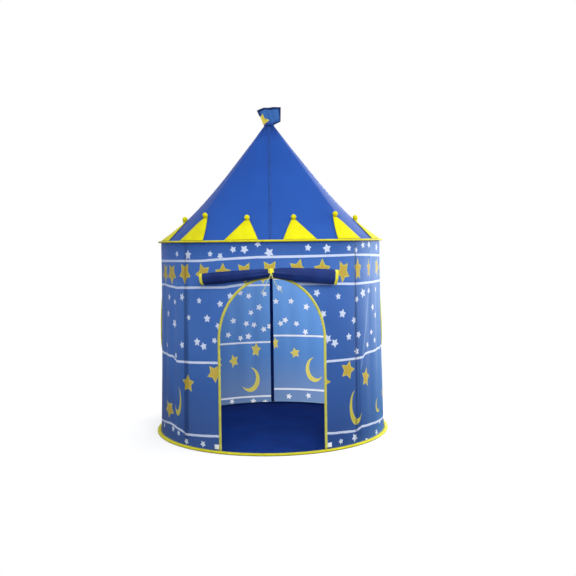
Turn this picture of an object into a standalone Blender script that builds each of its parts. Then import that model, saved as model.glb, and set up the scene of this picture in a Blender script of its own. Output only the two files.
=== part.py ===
"""A round castle play tent: printed cloth on two sprung hoops and eight poles.

Run it with blender --background --python part.py, or from Blender's text editor (Blender 4.5).
Lengths are in metres and +Z is up. The origin is the middle of the underside of the floor.
The door faces -Y. An azimuth is an angle round the tent, from the door towards +X.
"""

from math import acos, asin, atan2, ceil, cos, pi, radians, sin

import bmesh
import bpy
from mathutils import Matrix, Vector

# Driving sizes of the whole tent
BASE_DIAMETER = 1.050
EAVE_DIAMETER = 1.009
EAVE_HEIGHT = 0.850
PEAK_HEIGHT = 1.3655
PEAK_RADIUS = 0.024
COLUMNS = 64
STEP = 2 * pi / COLUMNS

# Cloth, thread and play between sewn pieces
CLOTH = 0.0010
SEWN_GAP = 0.0003
FIT_GAP = 0.0004

# Hoops of spring wire, each in a folded tape
HOOP_WIRE_RADIUS = 0.0015
HOOP_END_GAP = 0.0010
HOOP_SIDES_LEVEL = 1
FERRULE_WALL = 0.0005
FERRULE_LENGTH = 0.026
TAPE_THICKNESS = 0.0012
BASE_TAPE_WIDTH = 0.017
EAVE_TAPE_WIDTH = 0.012
FLANGE_SETBACK = 0.0029
TAPE_ARC_POINTS = 4
FERRULE_SIDES = 12

# Floor
FLOOR_RAMP = 0.006

# Wall: rows of the cloth from hem to eave, and the folds that the poles pull into it
WALL_ROW_SHARES = (0.0, 0.16, 0.36, 0.56, 0.78, 1.0)
FOLD_COLUMNS = (10, 12, 14, 26, 28, 30)
FOLD_DEPTH = 0.006
FOLD_UNEVEN_SHARE = 0.25
BACK_SEAM_GAP = 0.0005
BACK_TAPE_WIDTH = 0.016

# Door opening, its binding and the closing patches
DOOR_HALF_WIDTH = 0.210
DOOR_SPRING_HEIGHT = 0.450
DOOR_RISE = 0.253
BINDING_WIDTH = 0.0085
BINDING_FRONT = 0.0015
BINDING_WALL = 0.0009
BINDING_PLAY = 0.0006
ARCH_STEPS = 22
PATCH_WIDTH = 0.0200
PATCH_HEIGHT = 0.0180
PATCH_THICKNESS = 0.0014
PATCH_ABOVE_HEM = 0.0060
PATCH_PLAY = 0.0005

# Round net windows in both sides
WINDOW_RADIUS = 0.180
WINDOW_AZIMUTH = radians(107.5)
WINDOW_HEIGHT = 0.475
WINDOW_PIPING = 0.0080
WINDOW_PIPING_DEPTH = 0.0062
WINDOW_STEPS = 28
PIPING_SECTION_SHARES = ((-0.5, 0.0), (-0.38, 0.75), (0.0, 1.0), (0.38, 0.75), (0.5, 0.0))
NET_OVERLAP = 0.010
NET_THICKNESS = 0.0008

# Roof cloth: the faces hang in between four straight ridges
RIDGE_COUNT = 4
RIDGE_AZIMUTH = radians(45)
ROOF_ROW_SHARES = (0.0, 0.07, 0.14, 0.22, 0.40, 0.66, 1.0)
ROOF_SAG_SHARE = 0.155
ROOF_SAG_POWER = 4
ROOF_SEAM_GAP = 0.0005

# Crown points sewn in at the eave, each with a stuffed ball on its tip
CROWN_COUNT = 13
CROWN_WIDTH = 0.140
CROWN_RISE = 0.100
CROWN_CLOTH = 0.0012
CROWN_STAND_OFF = 0.0030
CROWN_ABOVE_TAPE = 0.0005
CROWN_AXIS_ABOVE_TAPE = 0.0015
CROWN_WAIST_SHARE = 0.90
CROWN_TIP_WIDTH = 0.006
BALL_RADIUS = 0.0100
BALL_SEGMENTS = 8
BALL_RINGS = 5

# Poles, their cloth sleeves, elbows, foot cups and the hub at the peak
POLE_RADIUS = 0.0045
POLE_SIDES = 12
SOCKET_PLAY = 0.0003
SOCKET_WALL = 0.0017
SOCKET_DEPTH = 0.030
ELBOW_ARM = 0.042
ELBOW_BEND = 0.010
POLE_FROM_WALL = 0.0072
POLE_FROM_ROOF = 0.0080
SLEEVE_CLOTH = 0.0008
SLEEVE_TAB = 0.0075
SLEEVE_PLAY = 0.0004
SLEEVE_OFF_WALL = 0.0007
SLEEVE_END_GAP = 0.004
SLEEVE_ARC_STEPS = 6
CUP_HEIGHT = 0.028
CUP_FLOOR = 0.003
CUP_TILT_PLAY = 0.0005
HUB_ARM_REACH = 0.062
HUB_ARM_START = 0.030
HUB_CORE_SETBACK = 0.0020
HUB_CORE_HEIGHT = 0.028
HUB_TOP_GAP = 0.005

# Rolled door: a waist in the tie, and two halves that hang from the seam over the door
ROLL_SEAM_RISE = 0.035
ROLL_HALF_LENGTH = 0.262
ROLL_WAIST_HALF = 0.0115
ROLL_PART_GAP = 0.0005
ROLL_WAIST_TALL = 0.0105
ROLL_END_TALL = 0.0215
ROLL_WAIST_DEEP = 0.0090
ROLL_END_DEEP = 0.0130
ROLL_WAIST_DROP = 0.0150
ROLL_END_DROP = 0.0450
ROLL_STATIONS = 9
ROLL_SIDES = 12
TIE_WIDTH = 0.0080
TIE_THICKNESS = 0.0012
TIE_TAIL_LENGTH = 0.075
TIE_TAIL_WIDTH = 0.0050
TIE_TAIL_THICKNESS = 0.0009
TIE_TAIL_SPREAD = 0.040
TIE_TAIL_STATIONS = 6

# Flag: its outline as points from the middle of the neck, sideways and upwards
FLAG_NECK_HALF = 0.0185
FLAG_LEFT_TOP = (-0.0510, 0.0745)
FLAG_MID_TOP = (-0.0180, 0.0850)
FLAG_RIGHT_TOP = (0.0530, 0.0870)
FLAG_RIGHT_LOW = (0.0525, 0.0230)
FLAG_LEFT_MID = (-0.0440, 0.0480)
FLAG_CLOTH = 0.0016
FLAG_COLLAR_HEIGHT = 0.010
FLAG_COLLAR_TOP_RADIUS = 0.0190
FLAG_COLLAR_SIDES = 24
FLAG_SINK = 0.004
FLAG_GAP = 0.0010
FLAG_CORD_RADIUS = 0.0017

# How far a cutter overruns what it cuts, and how near points are merged
CUT_OVERRUN = 0.060
SCREW_MERGE = 0.0001
CURVE_MERGE = 0.00001

# Values worked out from the sizes above
TAPE_BORE = (HOOP_WIRE_RADIUS + 2 * SEWN_GAP + FERRULE_WALL) / cos(pi / (2 * (TAPE_ARC_POINTS - 1)))
TAPE_HALF_HEIGHT = TAPE_BORE + TAPE_THICKNESS
FLANGE_OFFSET = TAPE_BORE - SEWN_GAP - CLOTH / 2

BASE_RADIUS = BASE_DIAMETER / 2
BASE_HOOP_RADIUS = BASE_RADIUS - TAPE_HALF_HEIGHT
BASE_LEG_RADIUS = BASE_RADIUS - BASE_TAPE_WIDTH
BASE_TAPE_CENTRE = TAPE_HALF_HEIGHT
BASE_TAPE_TOP = 2 * TAPE_HALF_HEIGHT
FLOOR_EDGE_HEIGHT = TAPE_THICKNESS + SEWN_GAP

EAVE_RADIUS = EAVE_DIAMETER / 2
EAVE_HOOP_RADIUS = EAVE_RADIUS - TAPE_HALF_HEIGHT
EAVE_LEG_RADIUS = EAVE_RADIUS - EAVE_TAPE_WIDTH
EAVE_TAPE_TOP = EAVE_HEIGHT + TAPE_HALF_HEIGHT

WALL_FOOT_RADIUS = BASE_LEG_RADIUS - SEWN_GAP - CLOTH / 2
WALL_FOOT_HEIGHT = BASE_TAPE_CENTRE + FLANGE_OFFSET
WALL_HEAD_RADIUS = EAVE_LEG_RADIUS - SEWN_GAP - CLOTH / 2
WALL_HEAD_HEIGHT = EAVE_HEIGHT - FLANGE_OFFSET
ROOF_FOOT_RADIUS = WALL_HEAD_RADIUS
ROOF_FOOT_HEIGHT = EAVE_HEIGHT + FLANGE_OFFSET
ROLL_OFF_WALL = CLOTH / 2 + SEWN_GAP + TIE_THICKNESS + FIT_GAP
ROLL_SEAM_HEIGHT = DOOR_SPRING_HEIGHT + DOOR_RISE + ROLL_SEAM_RISE

PARTS = bpy.data.collections.new("play_tent")
CUTTERS = bpy.data.collections.new("play_tent_cutters")


def clear_scene():
    """Remove every object of the open file and link the two collections."""
    for old in list(bpy.data.objects):
        bpy.data.objects.remove(old, do_unlink=True)
    bpy.context.scene.collection.children.link(PARTS)
    bpy.context.scene.collection.children.link(CUTTERS)


# Materials

def material(name, colour, roughness, metallic=0.0):
    """A Principled material from an sRGB colour written as three shares of one."""
    made = bpy.data.materials.new(name)
    made.use_nodes = True
    shader = made.node_tree.nodes["Principled BSDF"]
    linear = [((c + 0.055) / 1.055) ** 2.4 if c > 0.04045 else c / 12.92 for c in colour]
    shader.inputs["Base Color"].default_value = (*linear, 1.0)
    shader.inputs["Roughness"].default_value = roughness
    shader.inputs["Metallic"].default_value = metallic
    return made


ROOF_BLUE = material("roof_cloth", (0.165, 0.357, 0.722), 0.55)
PRINT_BLUE = material("printed_cloth", (0.290, 0.430, 0.680), 0.50)
NAVY = material("navy_cloth", (0.060, 0.150, 0.400), 0.60)
YELLOW = material("yellow_cloth", (0.984, 0.973, 0.040), 0.60)
YELLOW_TAPE = material("yellow_tape", (0.850, 0.810, 0.180), 0.65)
WHITE_TAPE = material("white_hook_tape", (0.900, 0.920, 0.950), 0.80)
NETTING = material("net", (0.120, 0.250, 0.520), 0.70)
FLAG_BLUE = material("flag_cloth", (0.240, 0.435, 0.710), 0.55)
SPRING_STEEL = material("spring_steel", (0.550, 0.560, 0.580), 0.35, 1.0)
POLE_WHITE = material("pole_plastic", (0.880, 0.890, 0.900), 0.40)
FITTING_BLACK = material("fitting_plastic", (0.080, 0.080, 0.090), 0.50)


# Making and joining objects

def mesh_object(name, mesh, finish, collection=PARTS):
    """An object with this mesh and finish, linked to a collection."""
    made = bpy.data.objects.new(name, mesh)
    if finish is not None:
        mesh.materials.append(finish)
    collection.objects.link(made)
    return made


def object_from_bmesh(name, shape, finish, collection=PARTS, smooth_angle=radians(35)):
    """Write a bmesh to a new object, with its faces pointing out and its round sides smooth."""
    bmesh.ops.recalc_face_normals(shape, faces=shape.faces)
    mesh = bpy.data.meshes.new(name)
    shape.to_mesh(mesh)
    shape.free()
    mesh.shade_smooth()
    mesh.set_sharp_from_angle(angle=smooth_angle)
    return mesh_object(name, mesh, finish, collection)


def hide_as_cutter(tool):
    """Mark an object as a guide that only shapes others."""
    tool.hide_render = True
    tool.display_type = "WIRE"


def combine(target, tool, operation):
    """Cut, join or limit the target by the tool."""
    hide_as_cutter(tool)
    step = target.modifiers.new(operation.lower() + "_" + tool.name, "BOOLEAN")
    step.operation = operation
    step.solver = "EXACT"
    step.object = tool


def put_origin(target, point):
    """Move an object's origin to a world point and leave its shape in place."""
    target.data.transform(Matrix.Translation(-Vector(point)))
    target.location = point


def tent_point(azimuth, radius, height):
    """The world point at an azimuth, a radius and a height."""
    return Vector((radius * sin(azimuth), -radius * cos(azimuth), height))


def outward(azimuth):
    """The level unit vector that points away from the tent's axis."""
    return Vector((sin(azimuth), -cos(azimuth), 0.0))


def along_rim(azimuth):
    """The level unit vector along the rim, towards a growing azimuth."""
    return Vector((cos(azimuth), sin(azimuth), 0.0))


def between(start, end, share):
    """The value at a share of the way from start to end."""
    return start + (end - start) * share


def cylinder_between(name, start, end, radius, finish, sides=POLE_SIDES, collection=PARTS):
    """A closed cylinder with its axis from one point to another."""
    axis = end - start
    turn = Vector((0.0, 0.0, 1.0)).rotation_difference(axis.normalized()).to_matrix().to_4x4()
    shape = bmesh.new()
    bmesh.ops.create_cone(
        shape, cap_ends=True, segments=sides, radius1=radius, radius2=radius,
        depth=axis.length, matrix=Matrix.Translation((start + end) / 2) @ turn,
    )
    return object_from_bmesh(name, shape, finish, collection)


def loft(name, sections, finish, closed=False, collection=PARTS, smooth_angle=radians(35)):
    """A skin through rings of points that all have the same count, capped unless it closes on itself."""
    shape = bmesh.new()
    rings = [[shape.verts.new(point) for point in section] for section in sections]
    followers = rings[1:] + rings[:1] if closed else rings[1:]
    for ring, following in zip(rings, followers):
        for i in range(len(ring)):
            j = (i + 1) % len(ring)
            shape.faces.new((ring[i], ring[j], following[j], following[i]))
    if not closed:
        shape.faces.new(rings[0])
        shape.faces.new(rings[-1])
    return object_from_bmesh(name, shape, finish, collection, smooth_angle)


def cloth(name, azimuths, rows, surface, thickness, finish, collection=PARTS):
    """A sheet over a grid of azimuths and rows, thickened evenly to both sides."""
    shape = bmesh.new()
    across = len(azimuths)
    bmesh.ops.create_grid(shape, x_segments=across - 1, y_segments=len(rows) - 1)
    shape.verts.ensure_lookup_table()
    for vert in shape.verts:
        row, column = divmod(vert.index, across)
        vert.co = surface(azimuths[column], rows[row])
    mesh = bpy.data.meshes.new(name)
    shape.to_mesh(mesh)
    shape.free()
    mesh.shade_smooth()
    made = mesh_object(name, mesh, finish, collection)
    wall = made.modifiers.new("thickness", "SOLIDIFY")
    wall.thickness = thickness
    wall.offset = 0.0
    wall.use_even_offset = True
    made.modifiers.new("flat_faces", "TRIANGULATE")
    return made


def turned(name, profile, finish, closed=True):
    """An outline of radius and height, carried once round the tent's axis. It runs down its outer side."""
    mesh = bpy.data.meshes.new(name)
    count = len(profile)
    points = [(radius, 0.0, height) for radius, height in profile]
    edges = [(i, (i + 1) % count) for i in range(count if closed else count - 1)]
    mesh.from_pydata(points, edges, [])
    made = mesh_object(name, mesh, finish)
    turn = made.modifiers.new("turn", "SCREW")
    turn.steps = COLUMNS
    turn.render_steps = COLUMNS
    turn.use_merge_vertices = True
    turn.merge_threshold = SCREW_MERGE
    turn.use_smooth_shade = True
    return made


def wire_tube(name, points, radius, level, finish):
    """A round tube along points, with filled ends, made a mesh."""
    curve = bpy.data.curves.new(name, "CURVE")
    curve.dimensions = "3D"
    curve.bevel_depth = radius
    curve.bevel_resolution = level
    curve.use_fill_caps = True
    spline = curve.splines.new("POLY")
    spline.points.add(len(points) - 1)
    for place, point in zip(spline.points, points):
        place.co = (*point, 1.0)
    return curve_to_mesh(name, curve, finish)


def curve_to_mesh(name, curve, finish, collection=PARTS):
    """Replace a curve by a welded mesh of the same shape."""
    drawn = bpy.data.objects.new(name + "_curve", curve)
    CUTTERS.objects.link(drawn)
    evaluated = drawn.evaluated_get(bpy.context.evaluated_depsgraph_get())
    mesh = bpy.data.meshes.new_from_object(evaluated)
    mesh.materials.clear()
    bpy.data.objects.remove(drawn, do_unlink=True)
    shape = bmesh.new()
    shape.from_mesh(mesh)
    bmesh.ops.remove_doubles(shape, verts=shape.verts, dist=CURVE_MERGE)
    return object_from_bmesh(name, shape, finish, collection)


# Hoops and their folded tapes

def tape_section(outer_radius, centre_height, width):
    """A hairpin outline: a tape folded round the wire, with both legs pointing to the axis."""
    end_radius = outer_radius - TAPE_HALF_HEIGHT
    leg_radius = outer_radius - width
    turn_share = pi / (TAPE_ARC_POINTS - 1)
    outer, inner = [], []
    for i in range(TAPE_ARC_POINTS):
        angle = pi / 2 - i * turn_share
        outer.append((end_radius + TAPE_HALF_HEIGHT * cos(angle), centre_height + TAPE_HALF_HEIGHT * sin(angle)))
        inner.append((end_radius + TAPE_BORE * cos(angle), centre_height + TAPE_BORE * sin(angle)))
    low_end = [(leg_radius, centre_height - TAPE_HALF_HEIGHT), (leg_radius, centre_height - TAPE_BORE)]
    top_end = [(leg_radius, centre_height + TAPE_BORE), (leg_radius, centre_height + TAPE_HALF_HEIGHT)]
    return outer + low_end + inner[::-1] + top_end


def make_hoop(prefix, radius, height):
    """A wire hoop with its two ends in a crimped ferrule, halfway along one facet at the back."""
    join_azimuth = pi + STEP / 2
    middle = tent_point(join_azimuth, radius * cos(STEP / 2), height)
    side = along_rim(join_azimuth)
    route = [middle + side * HOOP_END_GAP]
    route += [tent_point(pi + STEP * (i + 1), radius, height) for i in range(COLUMNS)]
    route.append(middle - side * HOOP_END_GAP)
    wire_tube(prefix + "_hoop", route, HOOP_WIRE_RADIUS, HOOP_SIDES_LEVEL, SPRING_STEEL)

    half = side * (FERRULE_LENGTH / 2)
    bore_radius = HOOP_WIRE_RADIUS + SEWN_GAP
    ferrule = cylinder_between(
        prefix + "_hoop_ferrule", middle - half, middle + half,
        bore_radius + FERRULE_WALL, SPRING_STEEL, FERRULE_SIDES,
    )
    bore = cylinder_between(
        prefix + "_ferrule_bore", middle - half * 2, middle + half * 2, bore_radius,
        None, FERRULE_SIDES, CUTTERS,
    )
    combine(ferrule, bore, "DIFFERENCE")


def make_base():
    """Floor sheet, base hoop and the yellow tape that holds both to the wall."""
    turned("base_hem", tape_section(BASE_RADIUS, BASE_TAPE_CENTRE, BASE_TAPE_WIDTH), YELLOW_TAPE)
    make_hoop("base", BASE_HOOP_RADIUS, BASE_TAPE_CENTRE)
    step_radius = BASE_LEG_RADIUS - CLOTH
    edge_radius = BASE_HOOP_RADIUS - FLANGE_SETBACK
    edge_top = FLOOR_EDGE_HEIGHT + CLOTH
    profile = [
        (0.0, CLOTH), (step_radius - FLOOR_RAMP - CLOTH, CLOTH), (step_radius - CLOTH, edge_top),
        (edge_radius, edge_top), (edge_radius, FLOOR_EDGE_HEIGHT), (step_radius, FLOOR_EDGE_HEIGHT),
        (step_radius - FLOOR_RAMP, 0.0), (0.0, 0.0),
    ]
    turned("floor_sheet", profile, NAVY, closed=False)


def make_eave():
    """Eave hoop in its yellow tape."""
    turned("eave_trim", tape_section(EAVE_RADIUS, EAVE_HEIGHT, EAVE_TAPE_WIDTH), YELLOW_TAPE)
    make_hoop("eave", EAVE_HOOP_RADIUS, EAVE_HEIGHT)


# Wall

def wall_radius(height):
    """The wall's radius on its straight slope between hem and eave."""
    share = (height - WALL_FOOT_HEIGHT) / (WALL_HEAD_HEIGHT - WALL_FOOT_HEIGHT)
    return between(WALL_FOOT_RADIUS, WALL_HEAD_RADIUS, share)


def facet_radius(azimuth, radius):
    """The distance to a flat facet between two columns whose own radius is given."""
    off_middle = (azimuth % STEP) - STEP / 2
    return radius * cos(STEP / 2) / cos(off_middle)


def wall_point(azimuth, height, proud=0.0):
    """A point on the wall's faceted middle surface, or proud of it."""
    return tent_point(azimuth, facet_radius(azimuth, wall_radius(height)) + proud, height)


def fold(azimuth, share):
    """How far a fold draws the wall in at this column: deepest halfway up, gone at both hems."""
    column = round(azimuth / STEP)
    if abs(column) not in FOLD_COLUMNS:
        return 0.0
    uneven = 1.0 + FOLD_UNEVEN_SHARE * sin(column)
    return FOLD_DEPTH * uneven * sin(pi * share)


def wall_rows():
    """Rows of the wall: both ends turn outwards into the tapes' slots."""
    rows = [("flange", BASE_HOOP_RADIUS - FLANGE_SETBACK, WALL_FOOT_HEIGHT)]
    rows += [("slope", share, between(WALL_FOOT_HEIGHT, WALL_HEAD_HEIGHT, share)) for share in WALL_ROW_SHARES]
    rows.append(("flange", EAVE_HOOP_RADIUS - FLANGE_SETBACK, WALL_HEAD_HEIGHT))
    return rows


def wall_surface(azimuth, row):
    """The wall's middle surface over azimuth and row."""
    kind, value, height = row
    if kind == "flange":
        return tent_point(azimuth, value, height)
    return tent_point(azimuth, wall_radius(height) - fold(azimuth, value), height)


def columns_between(first, last):
    """The tent's own column azimuths from first to last, with both ends themselves."""
    inner = [STEP * i for i in range(ceil(first / STEP + 0.01), ceil(last / STEP - 0.01))]
    return [first] + inner + [last]


def door_outline_point(turn):
    """Sideways place and height on the arch, for a turn of 0 at the right spring to pi at the left."""
    return DOOR_HALF_WIDTH * cos(turn), DOOR_SPRING_HEIGHT + DOOR_RISE * sin(turn)


def door_cutter():
    """The door's outline as a block that reaches through the front of the wall."""
    outline = [(DOOR_HALF_WIDTH, -CUT_OVERRUN), (DOOR_HALF_WIDTH, DOOR_SPRING_HEIGHT)]
    outline += [door_outline_point(pi * i / ARCH_STEPS) for i in range(1, ARCH_STEPS)]
    outline += [(-DOOR_HALF_WIDTH, DOOR_SPRING_HEIGHT), (-DOOR_HALF_WIDTH, -CUT_OVERRUN)]
    faces = (-BASE_RADIUS - CUT_OVERRUN, -BASE_RADIUS / 2)
    rings = [[Vector((x, y, z)) for x, z in outline] for y in faces]
    return loft("door_cutter", rings, None, collection=CUTTERS)


def window_frame(side):
    """The middle of a side window, and its outward and level directions."""
    azimuth = side * WINDOW_AZIMUTH
    return wall_point(azimuth, WINDOW_HEIGHT), outward(azimuth), along_rim(azimuth)


def window_cutter(name, side, radius):
    """A round bar that reaches through the wall at a side window."""
    middle, out, _ = window_frame(side)
    return cylinder_between(
        name, middle - out * CUT_OVERRUN, middle + out * CUT_OVERRUN, radius,
        None, WINDOW_STEPS, CUTTERS,
    )


def make_wall():
    """One long printed panel from back seam to back seam, with the door and two windows cut out."""
    seam_turn = BACK_SEAM_GAP / WALL_HEAD_RADIUS
    azimuths = columns_between(-pi + seam_turn, pi - seam_turn)
    wall = cloth("wall_panel", azimuths, wall_rows(), wall_surface, CLOTH, PRINT_BLUE)
    combine(wall, door_cutter(), "DIFFERENCE")
    for side, word in ((-1, "left"), (1, "right")):
        combine(wall, window_cutter("window_cutter_" + word, side, WINDOW_RADIUS), "DIFFERENCE")

    half_turn = BACK_TAPE_WIDTH / (2 * WALL_HEAD_RADIUS)
    proud = -(CLOTH + SEWN_GAP)
    heights = [WALL_FOOT_HEIGHT + CLOTH * 2, WALL_HEAD_HEIGHT - CLOTH * 2]
    azimuths = [pi - half_turn, pi, pi + half_turn]
    cloth(
        "back_seam_tape", azimuths, heights,
        lambda azimuth, height: tent_point(
            azimuth, facet_radius(azimuth, wall_radius(height)) + proud, height),
        CLOTH, NAVY,
    )


# Door binding and patches

def binding_section(point, into_cloth, out):
    """A U-shaped outline round the cut edge, open towards the cloth that it holds."""
    inner_half = CLOTH / 2 + BINDING_PLAY
    outer_half = inner_half + BINDING_WALL
    front = -BINDING_FRONT
    floor = -BINDING_FRONT + BINDING_WALL
    back = BINDING_WIDTH - BINDING_FRONT
    shape = (
        (front, -outer_half), (front, outer_half), (back, outer_half), (back, inner_half),
        (floor, inner_half), (floor, -inner_half), (back, -inner_half), (back, -outer_half),
    )
    return [point + into_cloth * depth + out * proud for depth, proud in shape]


def door_turns():
    """Turns round the arch: even steps, and each place where the arch crosses a column."""
    turns = {round(pi * i / ARCH_STEPS, 6) for i in range(ARCH_STEPS + 1)}
    arch_radius = wall_radius(DOOR_SPRING_HEIGHT + DOOR_RISE)
    reach = int(asin(DOOR_HALF_WIDTH / arch_radius) / STEP)
    for column in range(-reach, reach + 1):
        turns.add(round(acos(arch_radius * sin(column * STEP) / DOOR_HALF_WIDTH), 6))
    return sorted(turns)


def azimuth_at(sideways, height):
    """The azimuth at which the front of the wall is this far sideways at this height."""
    azimuth = asin(sideways / wall_radius(height))
    for _ in range(4):
        azimuth = asin(sideways / facet_radius(azimuth, wall_radius(height)))
    return azimuth


def make_door_binding():
    """Yellow tape folded over the door's cut edge, from hem to hem over the arch."""
    foot = BASE_TAPE_TOP + SEWN_GAP
    places = [((DOOR_HALF_WIDTH, foot), 0.0), ((DOOR_HALF_WIDTH, DOOR_SPRING_HEIGHT * 0.5), 0.0)]
    places += [(door_outline_point(turn), turn) for turn in door_turns()]
    places += [((-DOOR_HALF_WIDTH, DOOR_SPRING_HEIGHT * 0.5), pi), ((-DOOR_HALF_WIDTH, foot), pi)]
    sections = []
    for (sideways, height), turn in places:
        azimuth = azimuth_at(sideways, height)
        out = outward((round(azimuth / STEP - 0.5) + 0.5) * STEP)
        level = Vector((-out.y, out.x, 0.0))
        into_cloth = level * (DOOR_RISE * cos(turn)) + Vector((0.0, 0.0, DOOR_HALF_WIDTH * sin(turn)))
        sections.append(binding_section(wall_point(azimuth, height), into_cloth.normalized(), out))
    loft("door_binding", sections, YELLOW_TAPE)


def make_patches():
    """White hook-and-loop patches at the foot of both door edges."""
    sideways = DOOR_HALF_WIDTH + BINDING_WIDTH - BINDING_FRONT + PATCH_PLAY + PATCH_WIDTH / 2
    height = BASE_TAPE_TOP + PATCH_ABOVE_HEM + PATCH_HEIGHT / 2
    for side, word in ((-1, "left"), (1, "right")):
        azimuth = azimuth_at(side * sideways, height)
        out = outward((round(azimuth / STEP - 0.5) + 0.5) * STEP)
        middle = wall_point(azimuth, height) + out * (CLOTH / 2 + PATCH_PLAY + PATCH_THICKNESS / 2)
        shape = bmesh.new()
        bmesh.ops.create_cube(shape, size=1.0)
        bmesh.ops.scale(shape, vec=(PATCH_WIDTH, PATCH_THICKNESS, PATCH_HEIGHT), verts=shape.verts)
        turn = Matrix.Rotation(atan2(out.x, -out.y), 4, "Z")
        bmesh.ops.transform(shape, matrix=Matrix.Translation(middle) @ turn, verts=shape.verts)
        object_from_bmesh("closing_patch_" + word, shape, WHITE_TAPE)


# Side windows

def make_window(side, word):
    """A round net sewn inside the wall, and a stuffed piping round the hole outside."""
    azimuth = side * WINDOW_AZIMUTH
    reach = asin((WINDOW_RADIUS + NET_OVERLAP * 2) / wall_radius(WINDOW_HEIGHT))
    proud = -(CLOTH / 2 + SEWN_GAP + NET_THICKNESS / 2)
    low = WINDOW_HEIGHT - WINDOW_RADIUS - NET_OVERLAP * 2
    high = WINDOW_HEIGHT + WINDOW_RADIUS + NET_OVERLAP * 2
    net = cloth(
        "window_net_" + word, columns_between(azimuth - reach, azimuth + reach), [low, high],
        lambda turn, height: tent_point(turn, facet_radius(turn, wall_radius(height)) + proud, height),
        NET_THICKNESS, NETTING,
    )
    combine(net, window_cutter("net_outline_" + word, side, WINDOW_RADIUS + NET_OVERLAP), "INTERSECT")

    _, out, level = window_frame(side)
    ring_radius = WINDOW_RADIUS + WINDOW_PIPING / 2
    under = CLOTH / 2 + BINDING_PLAY
    sections = []
    for i in range(WINDOW_STEPS * 2):
        angle = pi * i / WINDOW_STEPS
        across, up = cos(angle), sin(angle)
        section = []
        for width_share, depth_share in PIPING_SECTION_SHARES:
            radius = ring_radius + WINDOW_PIPING * width_share
            height = WINDOW_HEIGHT + radius * up
            sideways = radius * across
            turn = azimuth + asin(sideways / wall_radius(height))
            proud_here = under + WINDOW_PIPING_DEPTH * depth_share
            section.append(wall_point(turn, height, proud_here))
        sections.append(section)
    loft("window_piping_" + word, sections, YELLOW_TAPE, closed=True, smooth_angle=radians(50))


# Roof

def roof_radius(azimuth, share):
    """The roof's radius: straight along the ridges, drawn in between them above the eave."""
    straight = between(ROOF_FOOT_RADIUS, PEAK_RADIUS, share)
    sag = ROOF_SAG_SHARE * (1.0 - (1.0 - share) ** ROOF_SAG_POWER)
    off_ridge = abs(sin((azimuth - RIDGE_AZIMUTH) * RIDGE_COUNT / 2))
    return straight * (1.0 - sag * off_ridge)


def roof_height(share):
    """The height at a share of the way from eave to peak."""
    return between(ROOF_FOOT_HEIGHT, PEAK_HEIGHT, share)


def slope_directions(azimuth):
    """Unit vectors up the ridge line and square to it, pointing out of the roof."""
    rise = PEAK_HEIGHT - ROOF_FOOT_HEIGHT
    run = ROOF_FOOT_RADIUS - PEAK_RADIUS
    up = (Vector((0.0, 0.0, rise)) - outward(azimuth) * run).normalized()
    out = (Vector((0.0, 0.0, run)) + outward(azimuth) * rise).normalized()
    return up, out


def roof_surface(azimuth, share, stand_off=0.0):
    """A point of the roof's middle surface, or off it along the slope's normal."""
    _, out = slope_directions(azimuth)
    return tent_point(azimuth, roof_radius(azimuth, share), roof_height(share)) + out * stand_off


def roof_rows_surface(azimuth, row):
    """The roof over its rows, the first of which is the flange in the eave tape."""
    if row < 0.0:
        return tent_point(azimuth, EAVE_HOOP_RADIUS - FLANGE_SETBACK, ROOF_FOOT_HEIGHT)
    return roof_surface(azimuth, row)


def make_roof():
    """Two halves of plain cloth that meet in seams at the front and the back."""
    rows = [-1.0] + list(ROOF_ROW_SHARES)
    for side, word in ((-1, "left"), (1, "right")):
        azimuths = columns_between(min(0.0, side * pi), max(0.0, side * pi))
        half = cloth("roof_" + word, azimuths, rows, roof_rows_surface, CLOTH, ROOF_BLUE)
        half.location.x = side * ROOF_SEAM_GAP / 2


# Crown points

def crown_outline(length):
    """Sideways place and distance up the slope for a point with slightly hollow sides."""
    half, tip = CROWN_WIDTH / 2, CROWN_TIP_WIDTH / 2
    waist = between(half, tip, 0.5) * CROWN_WAIST_SHARE
    right = [(half, -length / 4), (half, 0.0), (waist, length / 2), (tip, length)]
    return right + [(-sideways, up) for sideways, up in right[::-1]]


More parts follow.
